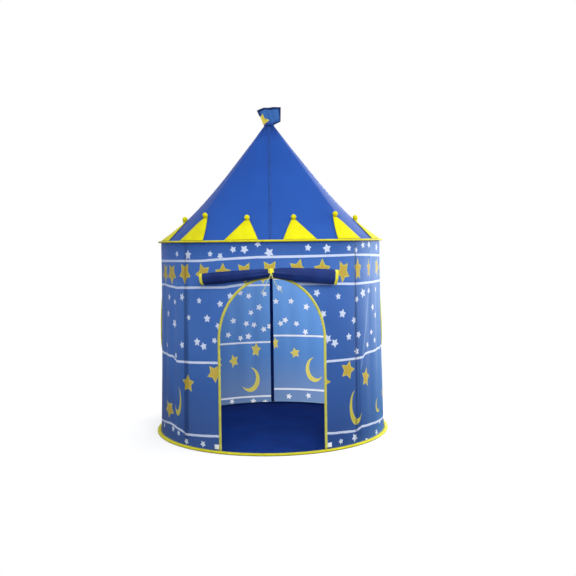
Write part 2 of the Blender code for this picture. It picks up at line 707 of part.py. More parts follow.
def make_crown_point(number):
    """One crown point: a piece of cloth that lies on the roof, with a ball joined to its tip."""
    azimuth = 2 * pi * (number + 0.5) / CROWN_COUNT
    word = f"{number + 1:02d}"
    _, out = slope_directions(azimuth)
    rise_share = 1.0 / (PEAK_HEIGHT - ROOF_FOOT_HEIGHT)
    start_height = EAVE_TAPE_TOP + CROWN_ABOVE_TAPE + CROWN_CLOTH / 2 - CROWN_STAND_OFF * out.z
    start_share = (start_height - ROOF_FOOT_HEIGHT) * rise_share
    tip_share = start_share + CROWN_RISE * rise_share
    rows = [start_share] + [row for row in ROOF_ROW_SHARES if row > start_share]
    rows = rows[:next(i for i, row in enumerate(rows) if row > tip_share) + 1]
    reach = CROWN_WIDTH / ROOF_FOOT_RADIUS
    sheet = cloth(
        "crown_point_" + word, columns_between(azimuth - reach, azimuth + reach), rows,
        lambda turn, share: roof_surface(turn, share, CROWN_STAND_OFF), CROWN_CLOTH, YELLOW,
    )
    base, tip = roof_surface(azimuth, start_share), roof_surface(azimuth, tip_share)
    level = along_rim(azimuth)
    up = (tip - base).normalized()
    square = level.cross(up)
    faces = (-CUT_OVERRUN / 2, CUT_OVERRUN / 2)
    outline = crown_outline((tip - base).length)
    rings = [[base + level * x + up * y + square * depth for x, y in outline] for depth in faces]
    combine(sheet, loft("crown_outline_" + word, rings, None, collection=CUTTERS), "INTERSECT")

    shape = bmesh.new()
    bmesh.ops.create_uvsphere(shape, u_segments=BALL_SEGMENTS, v_segments=BALL_RINGS, radius=BALL_RADIUS)
    centre = roof_surface(azimuth, tip_share, CLOTH / 2 + FIT_GAP + BALL_RADIUS)
    turn = Vector((0.0, 0.0, 1.0)).rotation_difference(square).to_matrix().to_4x4()
    bmesh.ops.transform(shape, matrix=Matrix.Translation(centre) @ turn, verts=shape.verts)
    ball = object_from_bmesh("crown_ball_" + word, shape, None, CUTTERS)
    combine(sheet, ball, "UNION")

    hinge_share = start_share + (CROWN_AXIS_ABOVE_TAPE - CROWN_ABOVE_TAPE) * rise_share
    put_origin(sheet, roof_surface(azimuth, hinge_share, CROWN_STAND_OFF))


# Poles and fittings

def meeting_point(start_a, along_a, start_b, along_b):
    """Where two lines in the plane of radius and height cross."""
    cross = along_a[0] * along_b[1] - along_a[1] * along_b[0]
    gap = (start_b[0] - start_a[0], start_b[1] - start_a[1])
    reach = (gap[0] * along_b[1] - gap[1] * along_b[0]) / cross
    return start_a[0] + along_a[0] * reach, start_a[1] + along_a[1] * reach


def pole_lines():
    """The wall pole's line and the roof pole's line, as a foot, a bend and a head in radius and height."""
    wall_run = Vector((WALL_HEAD_RADIUS - WALL_FOOT_RADIUS, WALL_HEAD_HEIGHT - WALL_FOOT_HEIGHT)).normalized()
    roof_run = Vector((PEAK_RADIUS - ROOF_FOOT_RADIUS, PEAK_HEIGHT - ROOF_FOOT_HEIGHT)).normalized()
    wall_in = Vector((-wall_run.y, wall_run.x))
    roof_in = Vector((-roof_run.y, roof_run.x))
    wall_start = Vector((WALL_FOOT_RADIUS, WALL_FOOT_HEIGHT)) + wall_in * (CLOTH / 2 + POLE_FROM_WALL)
    roof_start = Vector((ROOF_FOOT_RADIUS, ROOF_FOOT_HEIGHT)) + roof_in * (CLOTH / 2 + POLE_FROM_ROOF)
    bend = Vector(meeting_point(wall_start, wall_run, roof_start, roof_run))
    foot_height = FLOOR_EDGE_HEIGHT + CLOTH + CUP_TILT_PLAY
    foot = bend - wall_run * ((bend.y - foot_height) / wall_run.y)
    return foot, bend, wall_run, roof_run


def make_corner(azimuth, word):
    """One corner: foot cup, wall pole in its sleeve, elbow and roof pole."""
    foot, bend, wall_run, roof_run = pole_lines()
    place = lambda point: tent_point(azimuth, point.x, point.y)
    outer_radius = POLE_RADIUS + SOCKET_PLAY + SOCKET_WALL
    socket_radius = POLE_RADIUS + SOCKET_PLAY

    cup = cylinder_between(
        "foot_cup_" + word, place(foot), place(foot + wall_run * CUP_HEIGHT), outer_radius, FITTING_BLACK)
    cup_bore = cylinder_between(
        "cup_bore_" + word, place(foot + wall_run * CUP_FLOOR),
        place(foot + wall_run * (CUP_HEIGHT + CUT_OVERRUN)), socket_radius, None, collection=CUTTERS)
    combine(cup, cup_bore, "DIFFERENCE")

    pole_foot = foot + wall_run * (CUP_FLOOR + SOCKET_PLAY)
    pole_head = bend - wall_run * (ELBOW_ARM - SOCKET_DEPTH + SOCKET_PLAY)
    cylinder_between("wall_pole_" + word, place(pole_foot), place(pole_head), POLE_RADIUS, POLE_WHITE)

    route = [bend - wall_run * ELBOW_ARM, bend - wall_run * ELBOW_BEND,
             bend + roof_run * ELBOW_BEND, bend + roof_run * ELBOW_ARM]
    elbow = wire_tube("eave_elbow_" + word, [place(p) for p in route], outer_radius, 3, FITTING_BLACK)
    for name, run in (("low", -wall_run), ("high", roof_run)):
        socket = cylinder_between(
            "elbow_" + name + "_bore_" + word, place(bend + run * (ELBOW_ARM - SOCKET_DEPTH)),
            place(bend + run * (ELBOW_ARM + CUT_OVERRUN)), socket_radius, None, collection=CUTTERS)
        combine(elbow, socket, "DIFFERENCE")

    arm_end = hub_arm_point(HUB_ARM_REACH - SOCKET_DEPTH + SOCKET_PLAY)
    roof_foot = bend + roof_run * (ELBOW_ARM - SOCKET_DEPTH + SOCKET_PLAY)
    cylinder_between("roof_pole_" + word, place(roof_foot), place(arm_end), POLE_RADIUS, POLE_WHITE)
    make_sleeve(azimuth, word, place, foot, bend, wall_run)


def hub_arm_point(distance):
    """A point on the roof pole's line, at this distance down it from the tent's axis."""
    _, bend, _, roof_run = pole_lines()
    top = bend + roof_run * (bend.x / -roof_run.x)
    return top - roof_run * distance


def make_sleeve(azimuth, word, place, foot, bend, wall_run):
    """A hat-shaped strip sewn to the inside of the wall, with the pole in its hump."""
    level = along_rim(azimuth)
    inward = (place(foot) - place(foot + Vector((1.0, 0.0)))).normalized()
    inner = POLE_RADIUS + SLEEVE_PLAY
    outer = inner + SLEEVE_CLOTH
    low = SLEEVE_OFF_WALL - POLE_FROM_WALL
    high = low + SLEEVE_CLOTH
    tab = outer + SLEEVE_TAB
    arc = [pi * i / SLEEVE_ARC_STEPS for i in range(SLEEVE_ARC_STEPS + 1)]
    over = [(-outer * cos(t), outer * sin(t)) for t in arc]
    under = [(inner * cos(t), inner * sin(t)) for t in arc]
    shape = [(-tab, low), (-tab, high), (-outer, high)] + over + [(outer, high), (tab, high), (tab, low)]
    shape += [(inner, low)] + under + [(-inner, low)]
    start = foot + wall_run * (CUP_HEIGHT + SLEEVE_END_GAP)
    end = bend - wall_run * (ELBOW_ARM + SLEEVE_END_GAP)
    rings = [[place(p) + level * x + inward * y for x, y in shape] for p in (start, end)]
    loft("pole_sleeve_" + word, rings, NAVY)


def make_hub():
    """The peak fitting: a short core with four sockets that take the roof poles."""
    outer_radius = POLE_RADIUS + SOCKET_PLAY + SOCKET_WALL
    top = PEAK_HEIGHT - HUB_TOP_GAP
    inner, outer = hub_arm_point(HUB_ARM_START), hub_arm_point(HUB_ARM_REACH)
    hub = cylinder_between(
        "peak_hub", Vector((0.0, 0.0, top - HUB_CORE_HEIGHT)), Vector((0.0, 0.0, top)),
        inner.x - HUB_CORE_SETBACK, FITTING_BLACK, 16)
    for i in range(RIDGE_COUNT):
        azimuth = RIDGE_AZIMUTH + i * 2 * pi / RIDGE_COUNT
        arm = cylinder_between(
            f"hub_arm_{i + 1}", tent_point(azimuth, inner.x, inner.y), tent_point(azimuth, outer.x, outer.y),
            outer_radius, None, collection=CUTTERS)
        combine(hub, arm, "UNION")
    bore_start = hub_arm_point(HUB_ARM_REACH - SOCKET_DEPTH)
    bore_end = hub_arm_point(HUB_ARM_REACH + CUT_OVERRUN)
    for i in range(RIDGE_COUNT):
        azimuth = RIDGE_AZIMUTH + i * 2 * pi / RIDGE_COUNT
        bore = cylinder_between(
            f"hub_bore_{i + 1}", tent_point(azimuth, bore_start.x, bore_start.y),
            tent_point(azimuth, bore_end.x, bore_end.y), POLE_RADIUS + SOCKET_PLAY, None, collection=CUTTERS)
        combine(hub, bore, "DIFFERENCE")


# Rolled door

def roll_section(azimuth, share):
    """One oval ring of the roll: small at the tie, and bigger and lower towards the free end."""
    eased = 1.0 - (1.0 - share) ** 2
    tall = between(ROLL_WAIST_TALL, ROLL_END_TALL, eased)
    deep = between(ROLL_WAIST_DEEP, ROLL_END_DEEP, eased)
    height = ROLL_SEAM_HEIGHT - between(ROLL_WAIST_DROP, ROLL_END_DROP, share)
    radius = facet_radius(azimuth, wall_radius(height)) + ROLL_OFF_WALL + deep
    points = []
    for i in range(ROLL_SIDES):
        turn = 2 * pi * i / ROLL_SIDES
        points.append(tent_point(azimuth, radius + deep * cos(turn), height + tall * sin(turn)))
    return points


def make_roll():
    """The rolled door: a waist inside the tie and two halves, each hinged on its stretch of seam."""
    reach = asin(ROLL_HALF_LENGTH / (wall_radius(ROLL_SEAM_HEIGHT) + ROLL_END_DEEP))
    waist = ROLL_WAIST_HALF / wall_radius(ROLL_SEAM_HEIGHT)
    gap = ROLL_PART_GAP / wall_radius(ROLL_SEAM_HEIGHT)
    loft("door_roll_waist", [roll_section(waist * side, 0.0) for side in (-1, 0, 1)], NAVY)
    for side, word in ((-1, "left"), (1, "right")):
        sections = []
        for i in range(ROLL_STATIONS):
            share = i / (ROLL_STATIONS - 1)
            sections.append(roll_section(side * between(waist + gap, reach, share), share))
        half = loft("door_roll_" + word, sections, NAVY)
        put_origin(half, roll_hinge(side)[0])


def roll_hinge(side):
    """A point on the hinge line of one half, and the line's direction, from tie to free end."""
    radius = wall_radius(ROLL_SEAM_HEIGHT) + CLOTH / 2
    reach = asin(ROLL_HALF_LENGTH / (wall_radius(ROLL_SEAM_HEIGHT) + ROLL_END_DEEP))
    start = tent_point(0.0, radius, ROLL_SEAM_HEIGHT)
    end = tent_point(side * reach, radius, ROLL_SEAM_HEIGHT)
    return start, (end - start).normalized()


def make_tie():
    """A yellow tape loop round the roll's waist, with two short tails joined to it."""
    height = ROLL_SEAM_HEIGHT - ROLL_WAIST_DROP
    depth = -(wall_radius(height) + ROLL_OFF_WALL + ROLL_WAIST_DEEP)
    sections = []
    for i in range(ROLL_SIDES * 2):
        turn = pi * i / ROLL_SIDES
        section = []
        for half, grow in ((-1, 0), (1, 0), (1, 1), (-1, 1)):
            spare = FIT_GAP + TIE_THICKNESS * grow
            y = depth - (ROLL_WAIST_DEEP + spare) * cos(turn)
            z = height + (ROLL_WAIST_TALL + spare) * sin(turn)
            section.append(Vector((half * TIE_WIDTH / 2, y, z)))
        sections.append(section)
    tie = loft("door_tie", sections, YELLOW_TAPE, closed=True)
    front = depth - ROLL_WAIST_DEEP - FIT_GAP - TIE_THICKNESS / 2
    for side, word in ((-1, "left"), (1, "right")):
        rings = []
        for i in range(TIE_TAIL_STATIONS):
            share = i / (TIE_TAIL_STATIONS - 1)
            x = side * TIE_TAIL_SPREAD * share
            y = front + TIE_TAIL_THICKNESS * share
            z = height - TIE_TAIL_LENGTH * share
            half, thick = TIE_TAIL_WIDTH / 2, TIE_TAIL_THICKNESS / 2
            corners = ((-half, -thick), (half, -thick), (half, thick), (-half, thick))
            rings.append([Vector((x + across, y + through, z)) for across, through in corners])
        combine(tie, loft("tie_tail_" + word, rings, None, collection=CUTTERS), "UNION")


# Flag

def make_flag():
    """A stiff cloth flag on a gathered collar that sits on the roof's neck."""
    base = PEAK_HEIGHT + FLAG_GAP
    shape = bmesh.new()
    bmesh.ops.create_cone(
        shape, cap_ends=True, segments=FLAG_COLLAR_SIDES, radius1=PEAK_RADIUS,
        radius2=FLAG_COLLAR_TOP_RADIUS, depth=FLAG_COLLAR_HEIGHT,
        matrix=Matrix.Translation((0.0, 0.0, base + FLAG_COLLAR_HEIGHT / 2)),
    )
    flag = object_from_bmesh("flag", shape, FLAG_BLUE)
    neck_height = FLAG_COLLAR_HEIGHT - FLAG_SINK
    outline = [(-FLAG_NECK_HALF, neck_height), (FLAG_NECK_HALF, neck_height), FLAG_RIGHT_LOW,
               FLAG_RIGHT_TOP, FLAG_MID_TOP, FLAG_LEFT_TOP, FLAG_LEFT_MID]
    rings = [[Vector((x, y, base + z)) for x, z in outline] for y in (-FLAG_CLOTH / 2, FLAG_CLOTH / 2)]
    combine(flag, loft("flag_outline", rings, None, collection=CUTTERS), "UNION")
    put_origin(flag, (0.0, 0.0, base))

    stand_off = FLAG_CORD_RADIUS + SEWN_GAP
    corners = [FLAG_LEFT_TOP, FLAG_MID_TOP, FLAG_RIGHT_TOP, FLAG_RIGHT_LOW]
    pushed = [(-stand_off, stand_off), (0.0, stand_off), (stand_off, stand_off), (stand_off, -stand_off)]
    route = [Vector((x + dx, 0.0, base + z + dz)) for (x, z), (dx, dz) in zip(corners, pushed)]
    cord = wire_tube("flag_piping", route, FLAG_CORD_RADIUS, 2, NAVY)
    put_origin(cord, (0.0, 0.0, base))


def main():
    clear_scene()
    make_base()
    make_eave()
    make_wall()
    make_door_binding()
    make_patches()
    for side, word in ((-1, "left"), (1, "right")):
        make_window(side, word)
    make_roof()
    for number in range(CROWN_COUNT):
        make_crown_point(number)
    names = ("front_right", "back_right", "back_left", "front_left")
    for i, word in enumerate(names):
        make_corner(RIDGE_AZIMUTH + i * 2 * pi / RIDGE_COUNT, word)
    make_hub()
    make_roll()
    make_tie()
    make_flag()


main()
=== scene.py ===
# %% [markdown]
# # A castle play tent
#
# The tent is cloth on two sprung hoops and eight light poles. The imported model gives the
# poles, hoops and fittings their places. Everything soft is made again here as real cloth:
# a printed wall, a roof that hangs between four ridges, padded crown points, taped edges,
# a rolled-up door and a flag. Lengths are in metres, +Z is up and the door faces -Y.

from functools import partial
from math import atan, cos, pi, radians, sin

import bpy
import numpy as np
from mathutils import Matrix, Vector


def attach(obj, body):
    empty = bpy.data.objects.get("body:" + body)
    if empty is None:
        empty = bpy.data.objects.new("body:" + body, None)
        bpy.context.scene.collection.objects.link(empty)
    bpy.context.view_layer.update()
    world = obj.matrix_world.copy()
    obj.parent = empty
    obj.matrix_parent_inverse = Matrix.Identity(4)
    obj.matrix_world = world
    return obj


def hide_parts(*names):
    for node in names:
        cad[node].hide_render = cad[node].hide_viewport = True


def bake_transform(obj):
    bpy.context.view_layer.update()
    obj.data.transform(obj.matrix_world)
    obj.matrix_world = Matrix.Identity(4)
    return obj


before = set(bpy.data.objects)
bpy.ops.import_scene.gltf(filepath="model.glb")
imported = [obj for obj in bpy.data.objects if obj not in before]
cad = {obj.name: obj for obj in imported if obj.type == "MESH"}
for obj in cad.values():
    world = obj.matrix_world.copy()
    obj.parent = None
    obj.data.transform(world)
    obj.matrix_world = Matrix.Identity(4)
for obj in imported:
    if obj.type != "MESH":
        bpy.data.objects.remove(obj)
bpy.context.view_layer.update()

# %% [markdown]
# ## Sizes
#
# Each piece sits on the model's own sizes, so they are written once here, with the
# model's names for them.

# %% Sizes of the tent
PEAK_RADIUS = 0.024
BASE_HOOP_RADIUS, EAVE_HOOP_RADIUS, FLANGE_SETBACK = 0.5208, 0.5003, 0.0029
WALL_FOOT_RADIUS, WALL_FOOT_HEIGHT = 0.5072, 0.0064
WALL_HEAD_RADIUS, WALL_HEAD_HEIGHT = 0.4917, 0.8478
ROOF_FOOT_HEIGHT, PEAK_HEIGHT = 0.8522, 1.3655
EAVE_HEIGHT = 0.850
RIDGE_AZIMUTH = radians(45)
COLUMN = 2 * pi / 64
MEAN_RADIUS = 0.5
SIDES = ((-1, "left"), (1, "right"))
UP, FORWARDS, BACKWARDS, LEFT = (0.0, 0.0, 1.0), (0.0, -1.0, 0.0), (0.0, 1.0, 0.0), (-1.0, 0.0, 0.0)


def lerp(start, end, share):
    """start + share of the way to end."""
    return start + (end - start) * share


def smooth(low, high, value):
    """0 below low, 1 above high and an S-curve between: 3t^2 - 2t^3."""
    t = np.clip((value - low) / (high - low), 0.0, 1.0)
    return t * t * (3.0 - 2.0 * t)


def bump(value, width):
    """A bell curve that is 1 at 0: exp(-(value / width)^2)."""
    return np.exp(-(value / width) ** 2)


def wrapped(value, half=pi):
    """The same angle between -pi and pi, or the same arc within half a round each way."""
    return (value + half) % (2 * half) - half


def places(x, y, z):
    """Points from three coordinates, each one value or one for every point."""
    return np.stack(np.broadcast_arrays(x, y, z), axis=-1)


def tent_point(azimuth, radius, height):
    """Round the tent's axis: (r sin a, -r cos a, z), with azimuth 0 at the door."""
    return places(radius * np.sin(azimuth), -radius * np.cos(azimuth), height)


def outward(azimuth):
    """The level unit vector that points away from the axis at an azimuth."""
    return places(np.sin(azimuth), -np.cos(azimuth), 0.0)


def sideways_at(azimuth):
    """The level unit vector that runs round the tent at an azimuth."""
    return places(np.cos(azimuth), np.sin(azimuth), 0.0)


def wall_radius(height):
    """The wall's own slope, a straight line from hem to eave."""
    share = (height - WALL_FOOT_HEIGHT) / (WALL_HEAD_HEIGHT - WALL_FOOT_HEIGHT)
    return lerp(WALL_FOOT_RADIUS, WALL_HEAD_RADIUS, share)


# %% [markdown]
# ## The camera
#
# The photograph was taken from about 3.6 m away and 0.85 m up, with a lens of about
# 49 mm on a 36 mm sensor. The camera comes first, because the print is then placed by
# where each star is seen.

# %% Camera
PHOTO_SIDE = 576
FOCAL_PIXELS = 790
EYE_DISTANCE, EYE_HEIGHT = 3.60, 0.85
HORIZON_ROW, AXIS_COLUMN = 240.6, 271.2
CAMERA_ROLL = radians(-0.70)

eye_data = bpy.data.cameras.new("photo_camera")
eye = bpy.data.objects.new("photo_camera", eye_data)
bpy.context.scene.collection.objects.link(eye)
eye_data.sensor_width = 36.0
eye_data.lens = 36.0 * FOCAL_PIXELS / PHOTO_SIDE
pitch = atan((PHOTO_SIDE / 2 - HORIZON_ROW) / FOCAL_PIXELS)
turn_right = atan((PHOTO_SIDE / 2 - AXIS_COLUMN) / FOCAL_PIXELS)
eye_turn = (Matrix.Rotation(-turn_right, 4, "Z") @ Matrix.Rotation(pi / 2 - pitch, 4, "X")
            @ Matrix.Rotation(CAMERA_ROLL, 4, "Z"))
eye.matrix_world = Matrix.Translation((0.0, -EYE_DISTANCE, EYE_HEIGHT)) @ eye_turn
bpy.context.scene.camera = eye
view_axes = np.array(eye_turn.to_3x3())
print("camera:", round(eye_data.lens, 1), "mm lens")


def seen_on_wall(pixels, through_door=False):
    """Azimuth and height of the wall where a pixel's sight line meets it, front or back.

    The line is eye + t * direction. It meets the circle x^2 + y^2 = r^2 at the two roots of
    a quadratic, and r follows the wall's slope in a few rounds.
    """
    pixels = np.asarray(pixels, float)
    aim = places(pixels[:, 0] - PHOTO_SIDE / 2, PHOTO_SIDE / 2 - pixels[:, 1], -FOCAL_PIXELS) @ view_axes.T
    start = np.array([0.0, -EYE_DISTANCE, EYE_HEIGHT])
    height = np.full(len(pixels), 0.5)
    for _ in range(5):
        radius = wall_radius(height)
        a = (aim[:, :2] ** 2).sum(1)
        b = (aim[:, :2] * start[:2]).sum(1)
        c = (start[:2] ** 2).sum() - radius ** 2
        root = np.sqrt(np.maximum(b * b - a * c, 0.0))
        t = (-b + root if through_door else -b - root) / a
        place = start + aim * t[:, None]
        height = place[:, 2]
    return np.arctan2(place[:, 0], -place[:, 1]), height


# %% [markdown]
# ## Meshes from grids
#
# Every new piece is a surface over a grid: row by column points worked out with numpy.
# One helper turns such a grid into a quad mesh with a UV map in metres, so that weave and
# stitches keep their real size wherever the cloth bends.

# %% Grid to mesh
def grid_piece(name, points, finish, uv=None, ring_rows=False, ring_columns=False, keep=None, solid=False):
    """A quad mesh over points[row, column], closed into a ring along rows or columns if asked.

    uv has one more row or column than points where that way is a ring. keep is a mask of
    quads. A solid piece faces outwards, and its first and last row are closed by a face each
    where they don't meet.
    """
    rows, columns = points.shape[:2]
    number = np.arange(rows * columns).reshape(rows, columns)
    if ring_columns:
        number = np.concatenate([number, number[:, :1]], axis=1)
    if ring_rows:
        number = np.concatenate([number, number[:1]], axis=0)
    keep = slice(None) if keep is None else keep

    def corners(values):
        """The values at each kept quad's four corners, in the order that faces it outwards."""
        return np.stack([values[:-1, :-1], values[:-1, 1:], values[1:, 1:], values[1:, :-1]], axis=2)[keep]

    used, quads = np.unique(corners(number).reshape(-1, 4), return_inverse=True)
    faces = quads.reshape(-1, 4).tolist()
    if solid and not ring_rows:
        faces += [list(range(columns))[::-1], list(range((rows - 1) * columns, rows * columns))]
    mesh = bpy.data.meshes.new(name)
    mesh.from_pydata(points.reshape(-1, 3)[used], [], faces)
    if uv is not None:
        flat_uv = corners(uv).reshape(-1, 2)
        ends_uv = np.zeros((len(mesh.loops) - len(flat_uv), 2))
        layer = mesh.uv_layers.new(name="metres")
        layer.data.foreach_set("uv", np.concatenate([flat_uv, ends_uv]).ravel().astype(np.float32))
    mesh.polygons.foreach_set("use_smooth", np.ones(len(mesh.polygons), bool))
    mesh.update()
    mesh.materials.append(finish)
    piece = bpy.data.objects.new(name, mesh)
    bpy.context.scene.collection.objects.link(piece)
    if solid:
        face_outwards(mesh)
    return piece


def swept(name, path, across, out, profile, finish, ring=False):
    """A closed profile carried along a path.

    Each point of the ring at a path point is p + across * a + out * o for the profile's (a, o).
    across and out hold one vector per station, or one for all. UV is length along, length round.
    """
    profile = np.asarray(profile, float)
    across, out = (np.broadcast_to(vector, path.shape)[:, None, :] for vector in (across, out))
    points = path[:, None, :] + across * profile[None, :, :1] + out * profile[None, :, 1:2]
    along = run_lengths(np.concatenate([path, path[:1]]) if ring else path)
    around = run_lengths(np.concatenate([profile, profile[:1]]))
    uv = np.stack(np.meshgrid(along, around, indexing="ij"), axis=-1)
    return grid_piece(name, points, finish, uv, ring_rows=ring, ring_columns=True, solid=True)


def run_lengths(points):
    """The length along a line of points up to each of them."""
    return np.concatenate([[0.0], np.cumsum(np.linalg.norm(np.diff(points, axis=0), axis=1))])


def read(items, name, width, kind=np.float32):
    """One row of width numbers for each of a mesh's points, corners or triangles."""
    values = np.zeros(len(items) * width, kind)
    items.foreach_get(name, values)
    return values.reshape(-1, width)


def run_of(path):
    """The unit vector along a path at each of its points."""
    return direction(np.gradient(path, axis=0))


def face_outwards(mesh):
    """Turn every face of a closed mesh the way that gives it a positive volume."""
    mesh.calc_loop_triangles()
    corners = read(mesh.loop_triangles, "vertices", 3, np.int32)
    a, b, c = read(mesh.vertices, "co", 3)[corners].transpose(1, 0, 2)
    if (a * np.cross(b, c)).sum() < 0.0:
        mesh.flip_normals()


def mark(piece, name, values, domain="POINT"):
    """Give each point or face of a piece a number that its material reads."""
    layer = piece.data.attributes.new(name, "FLOAT", domain)
    layer.data.foreach_set("value", np.asarray(values, np.float32).ravel())


def strip(half, low, shoulder, top_half, top):
    """A flat strip's outline: a straight underside, two shoulders and a narrower top."""
    return [(-half, low), (half, low), (half, shoulder), (top_half, top), (-top_half, top), (-half, shoulder)]


def flat_strip(half, thick):
    """A rectangle's outline, half wide to each side and thick to each face."""
    return [(-half, -thick), (half, -thick), (half, thick), (-half, thick)]


def folded(outer, inner):
    """A tape folded over an edge: the outline over its fold and the slot under it, both mirrored."""
    return outer + [(x, -y) for x, y in outer[::-1] + inner[::-1]] + inner


def fasten(piece, body, stands_for=None):
    """Fix a piece to its body, and hide the model's node that it replaces."""
    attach(piece, body)
    if stands_for:
        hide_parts(stands_for)


def direction(vectors):
    """The same vectors at length one."""
    return vectors / np.linalg.norm(vectors, axis=-1, keepdims=True)


# %% [markdown]
# ## Cloth finishes
#
# The cloth is 190T polyester taffeta: a thin, tight plain weave with a slight sheen that
# lets some daylight through. Each finish is a Principled surface, for most cloth mixed with
# a Translucent one. The weave is two sine waves in the cloth's own UV, in metres. Real threads
# lie about 0.13 mm apart, too fine for any view, so they are drawn 1.2 mm apart and kept faint.

# %% Colour and node helpers
def colour(hex_text):
    """An sRGB hex colour as linear RGBA."""
    share = np.array([int(hex_text[i:i + 2], 16) for i in (1, 3, 5)]) / 255.0
    linear = np.where(share > 0.04045, ((share + 0.055) / 1.055) ** 2.4, share / 12.92)
    return (*linear.tolist(), 1.0)


def add_node(tree, kind, *inputs, **settings):
    """Add a node. A second word in kind is its operation, or for a Mix node its data type.

    The inputs come in order, or as one dict by socket name. Each is a value, a hex colour,
    a socket to link, or a node, whose first output is linked.
    """
    kind, _, mode = kind.partition(" ")
    made = tree.nodes.new("ShaderNode" + kind)
    if mode:
        settings["data_type" if kind == "Mix" else "operation"] = mode
    for key, value in settings.items():
        setattr(made, key, value)
    in_use = [socket for socket in made.inputs if socket.enabled]
    named = inputs[0] if inputs and isinstance(inputs[0], dict) else dict(zip(in_use, inputs))
    for socket, value in named.items():
        socket = made.inputs[socket] if isinstance(socket, str) else socket
        if isinstance(value, bpy.types.Node):
            value = next(output for output in value.outputs if output.enabled)
        if isinstance(value, bpy.types.NodeSocket):
            tree.links.new(value, socket)
        else:
            socket.default_value = colour(value) if isinstance(value, str) else value
    return made


def blank(name):
    """An empty material and the function that adds nodes to it."""
    made = bpy.data.materials.new(name)
    made.use_nodes = True
    made.node_tree.nodes.clear()
    return made, partial(add_node, made.node_tree)


def blank_cloth(name):
    """An empty material, its add function, the cloth's metres in u and v, and the place."""
    made, add = blank(name)
    u, v = add("SeparateXYZ", add("UVMap", uv_map="metres")).outputs[:2]
    return made, add, u, v, add("TexCoord").outputs["Object"]


THREAD_DRAWN = 0.0012


def weave_height(add, across, along):
    """The height of a plain weave: sin(2 pi u / thread) times sin(2 pi v / thread)."""
    waves = [add("Math SINE", add("Math MULTIPLY", value, 2 * pi / THREAD_DRAWN)) for value in (across, along)]
    return add("Math MULTIPLY", *waves)


def finish_cloth(made, add, base, height, roughness=0.6, sheen=0.06, through=None, share=0.35,
                 bump_distance=0.0003, bump_strength=0.25):
    """Join a colour and a height to a Principled surface, mixed with light from behind if a through colour is given.
    """
    raised = add("Bump", {"Height": height, "Distance": bump_distance, "Strength": bump_strength})
    shown = add("BsdfPrincipled", {
        "Base Color": base, "Roughness": roughness, "Specular IOR Level": 0.16,
        "Sheen Weight": sheen, "Sheen Roughness": 0.4, "Normal": raised})
    if through is not None:
        shown = add("MixShader", share, shown, add("BsdfTranslucent", {"Color": through, "Normal": raised}))
    add("OutputMaterial", shown)
    return made


def shaded(add, place, main, dark, scale):
    """A colour that drifts between two near shades with soft noise: uneven dye and old creases."""
    noise = add("TexNoise", {"Scale": scale, "Detail": 2.0, "Roughness": 0.5, "Vector": place})
    return add("Mix RGBA", add("MapRange", noise, 0.35, 0.65), main, dark)


def plain_cloth(name, main, dark, **surface):
    """Dyed taffeta in one colour, with a faint drift of shade and its weave."""
    made, add, u, v, place = blank_cloth(name)
    return finish_cloth(made, add, shaded(add, place, main, dark, 6.0), weave_height(add, u, v), **surface)


RIB_DRAWN, STITCH_IN, STITCH_HALF_WIDE, STITCH_PITCH, STITCH_LENGTH = 0.0016, 0.0016, 0.00045, 0.004, 0.0026


def taped(name, main, dark, width, rib=RIB_DRAWN, thread="#E8DF7A", both_edges=False):
    """Binding tape: fine ribs across it and a row of lockstitch near its edge, or near both.

    Real ribs lie 0.5 mm apart and are drawn 1.6 mm apart. UV runs along the tape in u and
    round its section in v. The width is one face's, from the sewn edge to the other edge.
    """
    made, add, along, around, place = blank_cloth(name)
    ribs = add("Math SINE", add("Math MULTIPLY", along, 2 * pi / rib))
    in_face = add("Math PINGPONG", around, width)
    from_row = add("Math ABSOLUTE", add("Math SUBTRACT", in_face, STITCH_IN))
    if both_edges:
        far_row = add("Math ABSOLUTE", add("Math SUBTRACT", in_face, width - STITCH_IN))
        from_row = add("Math MINIMUM", from_row, far_row)
    dash = add("Math LESS_THAN", add("Math MODULO", along, STITCH_PITCH), STITCH_LENGTH)
    stitch = add("Math MULTIPLY", add("Math LESS_THAN", from_row, STITCH_HALF_WIDE), dash)
    base = add("Mix RGBA", stitch, shaded(add, place, main, dark, 40.0), thread)
    return finish_cloth(made, add, base, add("Math MULTIPLY_ADD", stitch, 1.5, ribs), roughness=0.65)


# %% [markdown]
# ## The print
#
# The wall's print repeats three kinds of motif between white lines: small white stars, big
# yellow stars and yellow crescents. Where the photograph shows one, its middle is given in
# pixels and carried onto the wall along its sight line. The rest of the wall gets the same
# motifs from a seeded scatter. White stars hold x, y and scale. The yellow motifs hold x, y,
# tilt in degrees, scale and how narrow they are printed.

